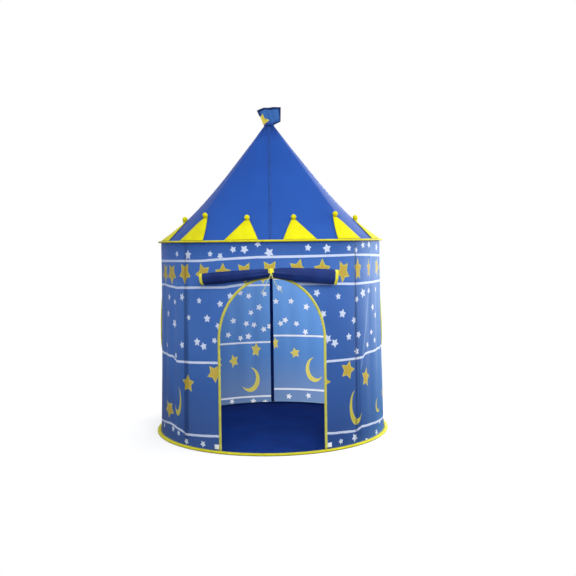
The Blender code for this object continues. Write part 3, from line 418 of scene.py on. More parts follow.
# %% Motifs that the photograph shows
WHITE_SIZE, YELLOW_SIZE, CRESCENT_SIZE = 0.0185, 0.0320, 0.0560
white_seen = np.array([
    (177, 254, 0.8), (188, 255, 1.15), (210, 254, 0.74), (220, 256, 0.8), (233, 249.5, 0.8), (244.3, 249.5, 1.0),
    (257.7, 244, 0.75), (269, 252.7, 1.1), (270, 240, 0.6), (308, 247.7, 0.85), (327, 248.5, 1.1), (349, 248, 0.8),
    (356, 250, 0.74), (363, 245, 0.85), (369, 244.5, 0.9), (376.5, 247, 1.0), (169, 297, 0.8), (174, 302, 0.74),
    (182, 297, 0.97), (168, 313.5, 0.9), (173.6, 323.6, 1.14), (188.6, 317.6, 0.74), (199, 300.7, 0.74),
    (207, 318.6, 0.97), (220, 304, 0.83), (230, 296, 0.8), (182, 345, 0.91), (166, 345, 0.8), (214.3, 340.7, 0.74),
    (218, 326, 0.8), (197, 342, 1.02), (203.5, 346.4, 0.97), (175, 355.7, 0.8), (317, 293, 0.9), (338.3, 296.4, 0.8),
    (323.5, 314, 0.9), (342.6, 313.6, 1.08), (354, 320.3, 0.91), (356.7, 299.3, 0.8), (363, 293, 1.2),
    (369.3, 290.7, 0.74), (376.4, 289.3, 0.7), (372.9, 307, 0.85), (348.9, 336.7, 0.91), (358.6, 334.6, 0.91),
    (371.9, 332.1, 0.7), (356.7, 351.4, 0.97), (368, 344.7, 0.74), (328, 338.8, 1.05), (335, 343, 1.05),
    (376, 315, 0.9), (375, 340, 0.8), (186.5, 441.4, 0.8), (203, 444, 0.8), (164.3, 425, 0.7), (173, 428.6, 0.8),
    (178.6, 433, 0.7), (341, 441.4, 0.7), (354.8, 437.5, 1.0), (366.4, 440, 0.6), (376.5, 432, 0.8), (380, 421, 0.8)])
yellow_row = np.array([
    (165, 273, 40, 1.0, 0.86), (171.5, 273.6, 36, 1.0, 0.86), (184.6, 273, 36, 1.0, 0.86),
    (202.9, 274, -20, 1.0, 0.86), (222.8, 273.5, 0, 0.93, 0.86), (244.5, 273, 30, 1.0, 0.86),
    (269.8, 271, 36, 1.0, 0.86), (298, 270, 18, 1.0, 0.86), (322.5, 270, 0, 1.0, 0.86),
    (343.2, 271.5, 45, 1.03, 0.8), (357.9, 269.3, 0, 1.08, 0.5), (369, 268.5, 0, 0.95, 0.35),
    (377.2, 267, 20, 0.95, 0.7)])
yellow_low = np.array([
    (188, 383.5, 0, 1.2, 1.0), (214.5, 373.5, 30, 1.2, 1.0), (169.1, 408.6, 38, 1.25, 1.3), (348, 370, 18, 1.25, 1.0),
    (366.0, 377.3, 12, 1.35, 0.75), (324.0, 382.3, 20, 1.0, 1.0), (383, 393, 20, 0.8, 1.0)])
crescent_low = np.array([
    (177.7, 400.9, 225, 1.12, 0.42), (356.2, 407.3, -40, 1.3, 0.53), (378.2, 404.8, -30, 0.56, 1.0)])
white_inside = np.array([
    (240, 292.8, 0.9), (248.5, 296, 0.9), (264.3, 293.9, 0.9), (259, 307.2, 1.0), (250.6, 312.6, 0.85),
    (233, 320.8, 0.95), (246.1, 323.6, 0.9), (253.8, 324.8, 0.9), (263.6, 329.2, 0.9), (269.8, 326.2, 1.0),
    (228.1, 335, 0.9), (240.3, 338.1, 0.9), (248.2, 336.3, 1.0), (279.3, 288, 0.9), (275.8, 301.3, 0.9),
    (280.7, 323.4, 0.9), (285.3, 320.1, 0.95), (291.2, 301.2, 0.9), (306.7, 306.8, 1.05), (296.6, 323.6, 0.9),
    (305.7, 331.8, 0.95), (253.4, 401.2, 0.9), (265.3, 401.9, 0.8), (289.1, 396.3, 0.9), (308.5, 395.6, 0.9),
    (232, 401.5, 0.8)])
yellow_inside = np.array([
    (255.8, 349.7, -8, 1.25, 0.68), (233.7, 360.9, 20, 1.12, 0.75), (275.5, 343, 10, 1.1, 0.5),
    (295.2, 352.8, 12, 0.9, 0.95), (263, 277.5, 36, 1.0, 1.0)])
crescent_inside = np.array([(250.4, 379.7, -32, 1.15, 0.75), (314.6, 369.7, 212, 1.15, 0.74)])
# Each crease holds its two ends' pixels, its width in metres and its depth. A positive
# depth folds in and gets painted shade; a negative depth stands out and gets a painted highlight.
creases_seen = (
    (185.3, 243, 184.6, 440, 0.0030, 0.85), (355.0, 243, 356.5, 436, 0.0052, 1.2),
    (373.0, 243, 374.5, 330, 0.0030, 0.7), (163.8, 243, 164.3, 350, 0.0030, 0.4),
    (368.5, 300, 361.5, 366, 0.0042, -1.0), (371.5, 243, 368.5, 300, 0.0042, -0.9),
    (377.0, 262, 376.5, 330, 0.0060, -0.6), (359.0, 352, 361.0, 436, 0.0040, 0.4),
    (209.5, 290, 209.0, 430, 0.0040, 0.16), (173.5, 360, 180.0, 430, 0.0030, 0.3),
    (327.0, 243, 331.0, 330, 0.0060, 0.12), (240.0, 243, 236.0, 262, 0.0040, 0.2),
    (300.0, 243, 303.0, 263, 0.0040, 0.2))
UNSEEN_AZIMUTHS = ((radians(84), radians(148)), (radians(-148), radians(-84)))

# %% Motifs on the wall: place round the wall and height, size, tilt and kind
WHITE_STAR, YELLOW_STAR, CRESCENT = 0.0, 1.0, 2.0
ROW_SIZE, ROW_HEIGHT, ROW_NARROW = 0.047, 0.720, 0.86
MOST_TILT = 0.6
# Where motifs are scattered: lowest and highest middle, least distance apart, size and kind.
BANDS = ((0.800, 0.835, 0.075, WHITE_SIZE, WHITE_STAR), (0.385, 0.640, 0.080, WHITE_SIZE, WHITE_STAR),
         (0.105, 0.310, 0.150, YELLOW_SIZE, YELLOW_STAR), (0.018, 0.035, 0.085, WHITE_SIZE, WHITE_STAR))
dice = np.random.default_rng(11)


def motif_table(azimuth, *columns):
    """One row for each azimuth; a column may be one value for all of them."""
    return np.stack(np.broadcast_arrays(azimuth * MEAN_RADIUS, *columns), axis=1)


def motifs(pixels, size, kind, through_door=False):
    """Rows of (arc, height, size, tilt, kind, width share) for the motifs seen at pixels."""
    azimuth, height = seen_on_wall(pixels[:, :2], through_door)
    if pixels.shape[1] == 3:
        tilt, scale, narrow = dice.uniform(-MOST_TILT, MOST_TILT, len(pixels)), pixels[:, 2], 1.0
    else:
        tilt, scale, narrow = np.radians(pixels[:, 2]), pixels[:, 3], pixels[:, 4]
    return motif_table(azimuth, height, size * scale, tilt, kind, narrow)


def scattered(low_azimuth, high_azimuth, low, high, apart, size, kind, count=400):
    """Motifs thrown on a stretch of wall, each kept if it lies far enough from those before it."""
    kept = []
    for _ in range(count):
        arc = dice.uniform(low_azimuth, high_azimuth) * MEAN_RADIUS
        height = dice.uniform(low, high)
        if all((arc - a) ** 2 + (height - h) ** 2 > apart ** 2 for a, h, *_ in kept):
            kept.append((arc, height, size * dice.uniform(0.85, 1.12), dice.uniform(-MOST_TILT, MOST_TILT),
                         kind, 1.0))
    return np.array(kept)


print_rows = [
    motifs(white_seen, WHITE_SIZE, WHITE_STAR), motifs(white_inside, WHITE_SIZE, WHITE_STAR, True),
    motifs(yellow_row, ROW_SIZE, YELLOW_STAR), motifs(yellow_low, YELLOW_SIZE, YELLOW_STAR),
    motifs(yellow_inside, YELLOW_SIZE, YELLOW_STAR, True),
    motifs(crescent_low, CRESCENT_SIZE, CRESCENT), motifs(crescent_inside, CRESCENT_SIZE, CRESCENT, True)]
row_azimuths = np.radians(np.arange(84.0, 277.0, 12.0))
row_tilts = np.where(np.arange(len(row_azimuths)) % 2, 0.55, 0.05)
print_rows.append(motif_table(row_azimuths, ROW_HEIGHT, ROW_SIZE, row_tilts, YELLOW_STAR, ROW_NARROW))
print_rows += [scattered(*stretch, *band) for stretch in UNSEEN_AZIMUTHS for band in BANDS]
print_rows.append(scattered(radians(-205), radians(-155), 0.790, 0.835, 0.075, WHITE_SIZE, WHITE_STAR))
all_motifs = np.concatenate(print_rows)
print("motifs:", len(all_motifs), "stars and crescents")

# %% White lines of the print, front and back
front_lines = (
    np.array([(163.6, 260.9), (200, 260.9), (228, 258.8), (258, 257.2), (293, 256.6), (354.8, 254.6),
              (378.6, 255.3)]),
    np.array([(163.6, 284.1), (176.2, 287.6), (225.3, 287.2), (243, 284.4), (270, 283.9), (298, 283.9),
              (336.5, 283.8), (354.8, 283.8), (379, 280.6)]),
    np.array([(163.3, 352.5), (172.2, 356.3), (173.4, 358.4), (176.2, 361.2), (216.2, 362.9), (321.8, 361.9),
              (356.2, 358.4), (363.2, 357.0), (365.3, 353.5), (379.5, 347.9)]),
    np.array([(161.0, 418.7), (170.6, 422.9), (183.2, 431.4), (186.0, 434.2), (216.2, 436.3), (326.0, 433.5),
              (356.2, 430.7), (361.8, 426.4), (383.5, 416.2)]))
left_back_heights = (0.758, 0.622, 0.323, 0.038)
right_back_heights = (0.770, 0.654, 0.357, 0.0745)
BACK_SHARE = radians(140)


def line_height(azimuth, seen, left_height, right_height):
    """A white line's height at an azimuth: as seen in front, and level on each back panel."""
    azimuths_seen, heights = seen_on_wall(seen)
    known = np.concatenate([[-pi, -BACK_SHARE], azimuths_seen, [BACK_SHARE, pi]])
    level = np.concatenate([[left_height] * 2, heights, [right_height] * 2])
    return np.interp(azimuth, known, level)


def line_distance(azimuth, height):
    """Distance to the nearest white line, in metres."""
    lines = [line_height(wrapped(azimuth), *values)
             for values in zip(front_lines, left_back_heights, right_back_heights)]
    return np.min([np.abs(height - line) for line in lines], axis=0)


# %% [markdown]
# ## Printed cloth as a material
#
# A motif's outline is a formula, so it stays sharp at any size. Each face knows the place
# of its nearest motif's middle through a second UV map, in units of the motif's size.
# For a five-pointed star with tips at radius 1 and valleys at radius q, the edge is a
# straight line from tip to valley: r (cos a + k sin a) = 1, with a the angle from the
# nearest tip and k = (1 - q cos 36) / (q sin 36).

# %% Star and crescent formulas as nodes
SIDE_PAINTED_LIGHT_ARC, SIDE_PAINTED_LIGHT_WIDTH = 0.66, 0.20
VALLEY_SHARE, HOLLOW_SHIFT, HOLLOW_RADIUS = 0.53, 0.335, 0.88
LINE_HALF_WIDE = 0.0050
PAINTED_SHADE_DARKEST_HEIGHT, PAINTED_SHADE_PALEST_HEIGHT = 0.03, 0.72
CREASE_OVER_WEAVE, CREASE_FADE_BELOW, CREASE_FADE_ABOVE = 9.0, 0.03, 0.01
EAVE_PAINTED_SHADE_START, EAVE_PAINTED_SHADE_END = 0.765, 0.840
FLOOR_PAINTED_LIGHT_START, FLOOR_PAINTED_LIGHT_END = 0.08, 0.26
INK_RIM = 0.80


def star_value(add, place):
    """0 in the middle of a star with its tip up, 1 on its outline."""
    x, y = add("SeparateXYZ", place).outputs[:2]
    from_tip = add("Math PINGPONG", add("Math ARCTAN2", x, y), pi / 5)
    slope = (1.0 - VALLEY_SHARE * cos(pi / 5)) / (VALLEY_SHARE * sin(pi / 5))
    edge = add("Math MULTIPLY_ADD", add("Math SINE", from_tip), slope, add("Math COSINE", from_tip))
    return add("Math MULTIPLY", add("VectorMath LENGTH", place), edge)


def crescent_value(add, place):
    """Below 1 inside a disc of radius 1 and outside a second, smaller disc beside it."""
    moved = add("VectorMath SUBTRACT", place, (HOLLOW_SHIFT, 0.0, 0.0))
    outside = add("Math SUBTRACT", 1.0 + HOLLOW_RADIUS, add("VectorMath LENGTH", moved))
    return add("Math MAXIMUM", add("VectorMath LENGTH", place), outside)


def crease_marks(add, arc, up):
    """The sum over all creases of depth * exp(-(distance / width)^2), faded at each crease's ends.

    A crease is a straight line on the flat cloth between two places seen in the photograph.
    """
    total = 0.0
    for top_x, top_y, low_x, low_y, width, depth in creases_seen:
        (top, low), (top_height, low_height) = seen_on_wall([(top_x, top_y), (low_x, low_y)])
        slant = (top - low) * MEAN_RADIUS / (top_height - low_height)
        line = add("Math MULTIPLY_ADD", up, slant, low * MEAN_RADIUS - slant * low_height)
        off = add("Math DIVIDE", add("Math SUBTRACT", arc, line), width)
        starts, ends = (add("MapRange", up, at - CREASE_FADE_BELOW, at + CREASE_FADE_ABOVE,
                            interpolation_type="SMOOTHSTEP") for at in (low_height, top_height))
        shown = add("Math MULTIPLY", bell(add, off), add("Math SUBTRACT", starts, ends))
        total = add("Math MULTIPLY_ADD", shown, depth, total)
    return total


def bell(add, off):
    """exp(-off^2)."""
    return add("Math EXPONENT", add("Math MULTIPLY", add("Math MULTIPLY", off, off), -1.0))


def printed_cloth():
    """Taffeta with a transfer print: flat inks with crisp edges, a little paler at the outline.

    The ink sits in the cloth, so it shares the cloth's sheen and weave. Painted shade makes the
    cloth darker towards the hem and under the eave, and a painted highlight makes it paler on
    the lit right side. From behind, the print shows through weaker, which the translucent
    colour gives; that colour is paler near the floor and up high as painted light. A crease
    that folds in gets painted shade and one that folds out a painted highlight.
    """
    made, add, u, v, place = blank_cloth("taffeta_printed")
    local = add("UVMap", uv_map="print")
    kind = add("Attribute", attribute_name="print_kind").outputs["Fac"]
    line = add("Attribute", attribute_name="line_distance").outputs["Fac"]
    up = add("SeparateXYZ", place).outputs[2]
    # Painted shade: the cloth's ground colour runs from dark at the hem to pale up high.
    high = add("MapRange", up, PAINTED_SHADE_DARKEST_HEIGHT, PAINTED_SHADE_PALEST_HEIGHT)
    ground = add("Mix RGBA", high, shaded(add, place, "#2F5192", "#2B4B8A", 5.0),
                 shaded(add, place, "#4975BC", "#446EB3", 5.0))
    # Painted shade under the eave: the top band of the wall is darkened.
    ground = add("Mix RGBA", add("MapRange", up, EAVE_PAINTED_SHADE_START, EAVE_PAINTED_SHADE_END, 0.0, 0.6), ground, "#284C84")
    # Painted highlight: the ground is paler and bluer on the lit right side of the wall.
    side_painted_light = bell(add, add("Math DIVIDE", add("Math SUBTRACT", u, SIDE_PAINTED_LIGHT_ARC), SIDE_PAINTED_LIGHT_WIDTH))
    ground = add("Mix RGBA", add("Math MULTIPLY", side_painted_light, 0.8), ground, "#327CBC")
    # Painted light through the cloth: the translucent colour is paler near the floor and up high.
    near_floor_painted_light = add("MapRange", up, FLOOR_PAINTED_LIGHT_START, FLOOR_PAINTED_LIGHT_END, 0.8, 0.0)
    through_painted_light = add("Mix RGBA", near_floor_painted_light, add("Mix RGBA", high, "#4F86CC", "#84BCFF"), "#8DABD8")
    is_crescent = add("Math GREATER_THAN", kind, (YELLOW_STAR + CRESCENT) / 2)
    is_yellow = add("Math GREATER_THAN", kind, (WHITE_STAR + YELLOW_STAR) / 2)
    shape = add("Mix FLOAT", is_crescent, star_value(add, local), crescent_value(add, local))
    inside = add("Math LESS_THAN", shape, 1.0)
    rim = add("Math MULTIPLY", add("Math GREATER_THAN", shape, INK_RIM), is_yellow)
    ink = add("Mix RGBA", rim, add("Mix RGBA", is_yellow, "#E2EDFF", "#D2B03A"), "#DBD04A")
    on_line = add("Math LESS_THAN", line, LINE_HALF_WIDE)
    base = add("Mix RGBA", inside, add("Mix RGBA", on_line, ground, "#DEE9FF"), ink)
    creases = crease_marks(add, u, v)
    # Painted shade along creases that fold in, and a painted highlight along those that stand out.
    crease_painted_shade = add("Math MULTIPLY", add("Math MAXIMUM", creases, 0.0), 0.6)
    ridge_painted_highlight = add("Math MULTIPLY", add("Math MINIMUM", creases, 0.0), -0.45)
    base = add("Mix RGBA", ridge_painted_highlight, add("Mix RGBA", crease_painted_shade, base, "#152A5E"), "#A9CCF8")
    through = add("Mix RGBA", inside, add("Mix RGBA", on_line, through_painted_light, "#FFFFFF"),
                  add("Mix RGBA", is_yellow, "#FFFFFF", "#F2E27A"))
    height = add("Math MULTIPLY_ADD", creases, -CREASE_OVER_WEAVE, weave_height(add, u, v))
    return finish_cloth(made, add, base, height, roughness=0.5, sheen=0.08, through=through, share=0.36)


PRINTED = printed_cloth()


def give_print(piece):
    """Give each face its nearest motif's frame, and each point its distance to a white line."""
    mesh = piece.data
    corners = read(mesh.uv_layers["metres"].data, "uv", 2).reshape(-1, 4, 2).astype(float)
    middle = corners.mean(axis=1)
    best = np.full(len(middle), np.inf)
    nearest = np.zeros(len(middle), int)
    half_round = pi * MEAN_RADIUS
    for i, (arc, height, size, *_) in enumerate(all_motifs):
        sideways = wrapped(middle[:, 0] - arc, half_round)
        away = np.hypot(sideways, middle[:, 1] - height) / size
        closer = away < best
        best[closer], nearest[closer] = away[closer], i
    arc, height, size, tilt, kind, narrow = all_motifs[nearest].T
    sideways = wrapped(middle[:, 0] - arc, half_round)
    x = (corners[:, :, 0] - middle[:, None, 0] + sideways[:, None]) / (size * narrow)[:, None]
    y = (corners[:, :, 1] - height[:, None]) / size[:, None]
    turned = np.stack([x * np.cos(tilt)[:, None] - y * np.sin(tilt)[:, None],
                       x * np.sin(tilt)[:, None] + y * np.cos(tilt)[:, None]], axis=-1)
    layer = mesh.uv_layers.new(name="print")
    layer.data.foreach_set("uv", turned.reshape(-1).astype(np.float32))
    mark(piece, "print_kind", kind, "FACE")
    x, y, z = read(mesh.vertices, "co", 3).T
    mark(piece, "line_distance", line_distance(np.arctan2(x, -y), z))


# %% [markdown]
# ## The wall
#
# On the real tent this is one strip of cloth sewn into a tapering tube. Its two hems turn
# outwards round the hoops. Between the poles it hangs a few millimetres flatter than the
# hoops and keeps the creases that the storage bag left. The shape is one function of
# azimuth and height. The door and the windows are cut by dropping the cells inside their
# outlines, after the corners of the cells on the edge have moved onto the outline.

# %% Shape of the wall
FOLD_COLUMNS = np.array([-30, -28, -26, -14, -12, -10, 10, 12, 14, 26, 28, 30])
FOLD_DEPTH, FOLD_UNEVEN, FOLD_WIDTH = 0.0045, 0.25, 0.55 * COLUMN
HANGS_FLATTER, BROAD_RIPPLE, FINE_RIPPLE = 0.0035, 0.0007, 0.0004
DOOR_HALF_WIDTH, DOOR_SPRING_HEIGHT, DOOR_RISE = 0.210, 0.450, 0.253
WINDOW_RADIUS, WINDOW_AZIMUTH, WINDOW_HEIGHT = 0.180, radians(107.5), 0.475
NET_RADIUS = 0.190
AROUND, WALL_ROWS = 512, 112


def wall_sway(azimuth, height):
    """How far the cloth stands off its plain cone: flat between poles, folds and ripples.

    Each part is multiplied by sin(pi * share), so that both hems stay on their hoops.
    """
    share = np.clip((height - WALL_FOOT_HEIGHT) / (WALL_HEAD_HEIGHT - WALL_FOOT_HEIGHT), 0.0, 1.0)
    off_pole = np.sin(2 * (azimuth - RIDGE_AZIMUTH)) ** 2
    off_fold = wrapped(azimuth[..., None] - FOLD_COLUMNS * COLUMN)
    deep = FOLD_DEPTH * (1 + FOLD_UNEVEN * np.sin(FOLD_COLUMNS))
    folds = -(deep * bump(off_fold, FOLD_WIDTH)).sum(axis=-1)
    ripple = (BROAD_RIPPLE * np.sin(17 * azimuth + 6.0 * height)
              + FINE_RIPPLE * np.sin(43 * azimuth - 9.0 * height + 1.0))
    return (folds + (ripple - HANGS_FLATTER) * off_pole) * np.sin(pi * share)


def wall_point(azimuth, height, proud=0.0):
    """A point of the wall's surface, or proud of it."""
    azimuth, height = np.broadcast_arrays(np.asarray(azimuth, float), np.asarray(height, float))
    return tent_point(azimuth, wall_radius(height) + wall_sway(azimuth, height) + proud, height)


def cut_opening(azimuth, height, middle, middle_height, half_wide, half_tall, has_legs):
    """Move the points inside an opening out to its edge, and mark the points on the cloth.

    The reach is hypot(x / half width, y / half height) from the opening's middle: above 1 on
    the cloth. An opening with legs runs straight down from its middle.
    """
    off = wrapped(azimuth - middle)
    x, y = wall_radius(height) * np.sin(off), height - middle_height
    if has_legs:
        y = np.maximum(y, 0.0)
    reach = np.where(np.cos(off) < 0.0, 9.0, np.hypot(x / half_wide, y / half_tall))
    on_cloth = reach > 1.0
    reach = np.maximum(reach, 1e-6)
    new_height = height - y + y / reach
    new_off = np.arcsin(np.clip(x / reach / wall_radius(new_height), -1, 1))
    return (np.where(on_cloth, azimuth, azimuth - off + new_off), np.where(on_cloth, height, new_height),
            on_cloth)


def corner_any(mask):
    """For each cell of a ring grid, whether any of its four corners is marked."""
    ringed = np.concatenate([mask, mask[:, :1]], axis=1)
    return ringed[:-1, :-1] | ringed[:-1, 1:] | ringed[1:, 1:] | ringed[1:, :-1]


# %% The wall with its door and windows cut
heights = np.concatenate([[WALL_FOOT_HEIGHT], np.linspace(WALL_FOOT_HEIGHT, WALL_HEAD_HEIGHT, WALL_ROWS),
                          [WALL_HEAD_HEIGHT]])
azimuths = np.linspace(-pi, pi, AROUND, endpoint=False)
wall_azimuth, wall_height = np.meshgrid(azimuths, heights)
kept_cells = np.ones((len(heights) - 1, AROUND), bool)
openings = [(0.0, DOOR_SPRING_HEIGHT, DOOR_HALF_WIDTH, DOOR_RISE, True)]
openings += [(side * WINDOW_AZIMUTH, WINDOW_HEIGHT, WINDOW_RADIUS, WINDOW_RADIUS, False) for side, _ in SIDES]
for opening in openings:
    wall_azimuth, wall_height, on_cloth = cut_opening(wall_azimuth, wall_height, *opening)
    kept_cells &= corner_any(on_cloth)
wall_places = wall_point(wall_azimuth, wall_height)
for row, radius in ((0, BASE_HOOP_RADIUS - FLANGE_SETBACK), (-1, EAVE_HOOP_RADIUS - FLANGE_SETBACK)):
    wall_places[row] = tent_point(wall_azimuth[row], radius, heights[row])
ringed_azimuth = np.concatenate([wall_azimuth, wall_azimuth[:, :1] + 2 * pi], axis=1)
ringed_height = np.concatenate([wall_height, wall_height[:, :1]], axis=1)
wall = grid_piece("wall_cloth", wall_places, PRINTED,
                  np.stack([ringed_azimuth * MEAN_RADIUS, ringed_height], axis=-1),
                  ring_columns=True, keep=kept_cells)
give_print(wall)
fasten(wall, "tent", "wall_panel")
print("wall:", len(wall.data.polygons), "faces")


# %% [markdown]
# ## The roof
#
# The roof is two half cones of plain blue cloth, joined by a seam at the front and one at
# the back. Four poles hold it up along four straight ridges, and it hangs hollow between
# them. So the radius is a straight line from eave to peak, less a share that grows with
# |sin 2(azimuth - ridge)|, which keeps each ridge a sharp crease. Near the peak the spare
# cloth gathers into small pleats.

# %% Roof surface
ROOF_FOOT_RADIUS = WALL_HEAD_RADIUS
ROOF_SAG_SHARE, ROOF_SAG_POWER = 0.155, 4
SLOPE_RISE, SLOPE_RUN = PEAK_HEIGHT - ROOF_FOOT_HEIGHT, ROOF_FOOT_RADIUS - PEAK_RADIUS
SLOPE_LENGTH = float(np.hypot(SLOPE_RISE, SLOPE_RUN))
ROOF_AROUND, ROOF_ROWS = 256, 128
GATHERS, GATHER_DRAWN = 22, 0.0065
GATHER_SHADE_START, GATHER_SHADE_END = 1.292, 1.362
PLEAT_DEPTH, PLEAT_START, DRAPE_DEPTH = 0.0016, 0.80, 0.0012


def slope_out(azimuth):
    """The unit vector square to the ridge line, out of the roof."""
    return (outward(azimuth) * SLOPE_RISE + np.array([0.0, 0.0, SLOPE_RUN])) / SLOPE_LENGTH


def off_ridge(azimuth):
    """0 on the four ridges and 1 halfway between them."""
    return np.abs(np.sin(2 * (azimuth - RIDGE_AZIMUTH)))


def roof_radius(azimuth, share):
    """Straight along the ridges and drawn in between them."""
    sag = ROOF_SAG_SHARE * (1.0 - (1.0 - np.clip(share, 0.0, 1.0)) ** ROOF_SAG_POWER)
    return lerp(ROOF_FOOT_RADIUS, PEAK_RADIUS, share) * (1.0 - sag * off_ridge(azimuth))


def roof_point(azimuth, share, proud=0.0):
    """The roof at a share of the way from eave to peak, or proud of it along its slope."""
    azimuth, share = np.broadcast_arrays(np.asarray(azimuth, float), np.asarray(share, float))
    pleats = PLEAT_DEPTH * np.sin(GATHERS * azimuth + 0.6 * np.sin(3 * azimuth)) * smooth(PLEAT_START, 1.0, share)
    drape = -DRAPE_DEPTH * off_ridge(azimuth) * np.sin(11 * azimuth + 5 * share) * np.sin(pi * share) ** 2
    place = tent_point(azimuth, roof_radius(azimuth, share), lerp(ROOF_FOOT_HEIGHT, PEAK_HEIGHT, share))
    return place + slope_out(azimuth) * (proud + pleats + drape)[..., None]


def roof_cloth_finish():
    """Taffeta, darker where the gathers near the peak shade one another."""
    made, add, u, v, place = blank_cloth("taffeta_roof_blue")
    creases = add("Math SINE", add("Math MULTIPLY", u, 2 * pi / GATHER_DRAWN))
    high = add("MapRange", add("SeparateXYZ", place).outputs[2], GATHER_SHADE_START, GATHER_SHADE_END)
    dark = add("Math MULTIPLY", high, add("Math MULTIPLY_ADD", creases, 0.32, 0.62))
    base = add("Mix RGBA", dark, shaded(add, place, "#1E50A0", "#1B4A96", 4.0), "#122B66")
    return finish_cloth(made, add, base, weave_height(add, u, v), roughness=0.55, sheen=0.05,
                        through="#3E7CE8", share=0.25)


ROOF_CLOTH = roof_cloth_finish()

# %% Two roof halves
shares = np.concatenate([[0.0], np.linspace(0.0, 1.0, ROOF_ROWS)])
for side, word in SIDES:
    turns = np.linspace(min(0.0, side * pi), max(0.0, side * pi), ROOF_AROUND + 1)
    roof_azimuth, roof_share = np.meshgrid(turns, shares)
    roof_places = roof_point(roof_azimuth, roof_share)
    roof_places[0] = tent_point(turns, EAVE_HOOP_RADIUS - FLANGE_SETBACK, ROOF_FOOT_HEIGHT)
    radius = np.hypot(roof_places[..., 0], roof_places[..., 1])
    half = grid_piece("roof_cloth_" + word, roof_places, ROOF_CLOTH,
                      np.stack([roof_azimuth * radius, roof_share * SLOPE_LENGTH], axis=-1))
    fasten(half, "tent", "roof_" + word)
print("roof halves:", len(half.data.polygons), "faces each")

# %% [markdown]
# ## Seams, tapes and bindings
#
# Every edge of the tent is bound. A binding is a long profile carried along a path, so one
# helper makes them all: the felled seams of the roof, the two tapes folded round the
# hoops, the binding of the door, the piping of the windows and the tie.

# %% Felled seams at the front and back of the roof
FELL_WIDTH, FELL_THICKNESS = 0.012, 0.0010
FELL_CLOTH = taped("felled_seam_blue", "#19448E", "#163B7E", FELL_WIDTH, rib=0.0022, thread="#122E68",
                   both_edges=True)
FELL_OUTLINE = strip(FELL_WIDTH / 2, 0.0002, 0.0007, 0.3 * FELL_WIDTH, FELL_THICKNESS)
for azimuth, word in ((0.0, "front"), (pi, "back")):
    middle = roof_point(azimuth, np.linspace(0.010, 0.985, 130))
    level = sideways_at(azimuth)
    square = direction(np.cross(level, run_of(middle)))
    fell = swept("roof_seam_" + word, middle, level, square, FELL_OUTLINE, FELL_CLOTH)
    fasten(fell, "tent")

# %% Hem and eave tapes, folded round their hoops
TAPE_HALF, TAPE_BORE = 0.0042022, 0.0030022
TAPE_ARC = np.linspace(pi / 2, -pi / 2, 11)


def folded_tape(width):
    """A hairpin outline round a hoop at (0, 0): an outer arc, two legs inwards, an inner arc."""
    leg = width - TAPE_HALF
    outer = [(-leg, TAPE_HALF), (-leg / 2, TAPE_HALF + 0.0002)]
    outer += [(TAPE_HALF * cos(a), TAPE_HALF * sin(a)) for a in TAPE_ARC]
    outer += [(-leg / 2, -TAPE_HALF), (-leg, -TAPE_HALF)]
    inner = [(-leg, -TAPE_BORE)] + [(TAPE_BORE * cos(a), TAPE_BORE * sin(a)) for a in TAPE_ARC[::-1]]
    return outer + inner + [(-leg, TAPE_BORE)]


around = np.linspace(-pi, pi, 320, endpoint=False)
for name, hoop_radius, height, width, finish in (
        ("base_hem", BASE_HOOP_RADIUS, TAPE_HALF, 0.017, taped("hem_tape_yellow", "#C9C41E", "#BDB718", 0.0194)),
        ("eave_trim", EAVE_HOOP_RADIUS, EAVE_HEIGHT, 0.012, taped("eave_tape_yellow", "#C6C01A", "#BAB414", 0.0144))):
    tape = swept(name + "_tape", tent_point(around, hoop_radius, height), outward(around), UP,
                 folded_tape(width), finish, ring=True)
    fasten(tape, "tent", name)
print("tapes: hem and eave")

# %% Door binding
BINDING_OUTLINE = folded([(0.0086, 0.0020), (0.0036, 0.0022), (-0.0011, 0.0019), (-0.0018, 0.0009)],
                         [(-0.0005, 0.0010), (0.0086, 0.0011)])
BINDING_FOOT, BINDING_STRAIGHT, BINDING_ARCH = 0.0087, 44, 120


def door_stations():
    """x, height and the two parts of the direction into the cloth, from right foot to left foot."""
    up = np.linspace(BINDING_FOOT, DOOR_SPRING_HEIGHT, BINDING_STRAIGHT, endpoint=False)
    turn = np.linspace(0.0, pi, BINDING_ARCH)
    foot = np.ones(BINDING_STRAIGHT)
    sideways = np.concatenate([foot, np.cos(turn), -foot])
    z = np.concatenate([up, DOOR_SPRING_HEIGHT + DOOR_RISE * np.sin(turn), up[::-1]])
    rise = DOOR_HALF_WIDTH * np.concatenate([0.0 * foot, np.sin(turn), 0.0 * foot])
    length = np.hypot(DOOR_RISE * sideways, rise)
    return DOOR_HALF_WIDTH * sideways, z, DOOR_RISE * sideways / length, rise / length


x, z, side, rise = door_stations()
door_azimuth = np.arcsin(x / wall_radius(z))
into_cloth = sideways_at(door_azimuth) * side[:, None] + np.array(UP) * rise[:, None]
binding = swept("door_edge_binding", wall_point(door_azimuth, z), into_cloth, outward(door_azimuth),
                BINDING_OUTLINE, taped("door_binding_yellow", "#C3C258", "#B6B44C", 0.0125))
fasten(binding, "tent", "door_binding")

# %% Navy tape over the seam at the back, inside
seam_middle = wall_point(pi, np.linspace(0.0086, 0.8440, 120), -0.0016)
seam = swept("back_seam_cover", seam_middle, LEFT, BACKWARDS, flat_strip(0.0080, 0.0004),
             taped("seam_tape_navy", "#13306F", "#0E265C", 0.016, thread="#27467F", both_edges=True))
fasten(seam, "tent", "back_seam_tape")

# %% Hook-and-loop patches at the door's feet
HOOK_SPACING = 0.0016


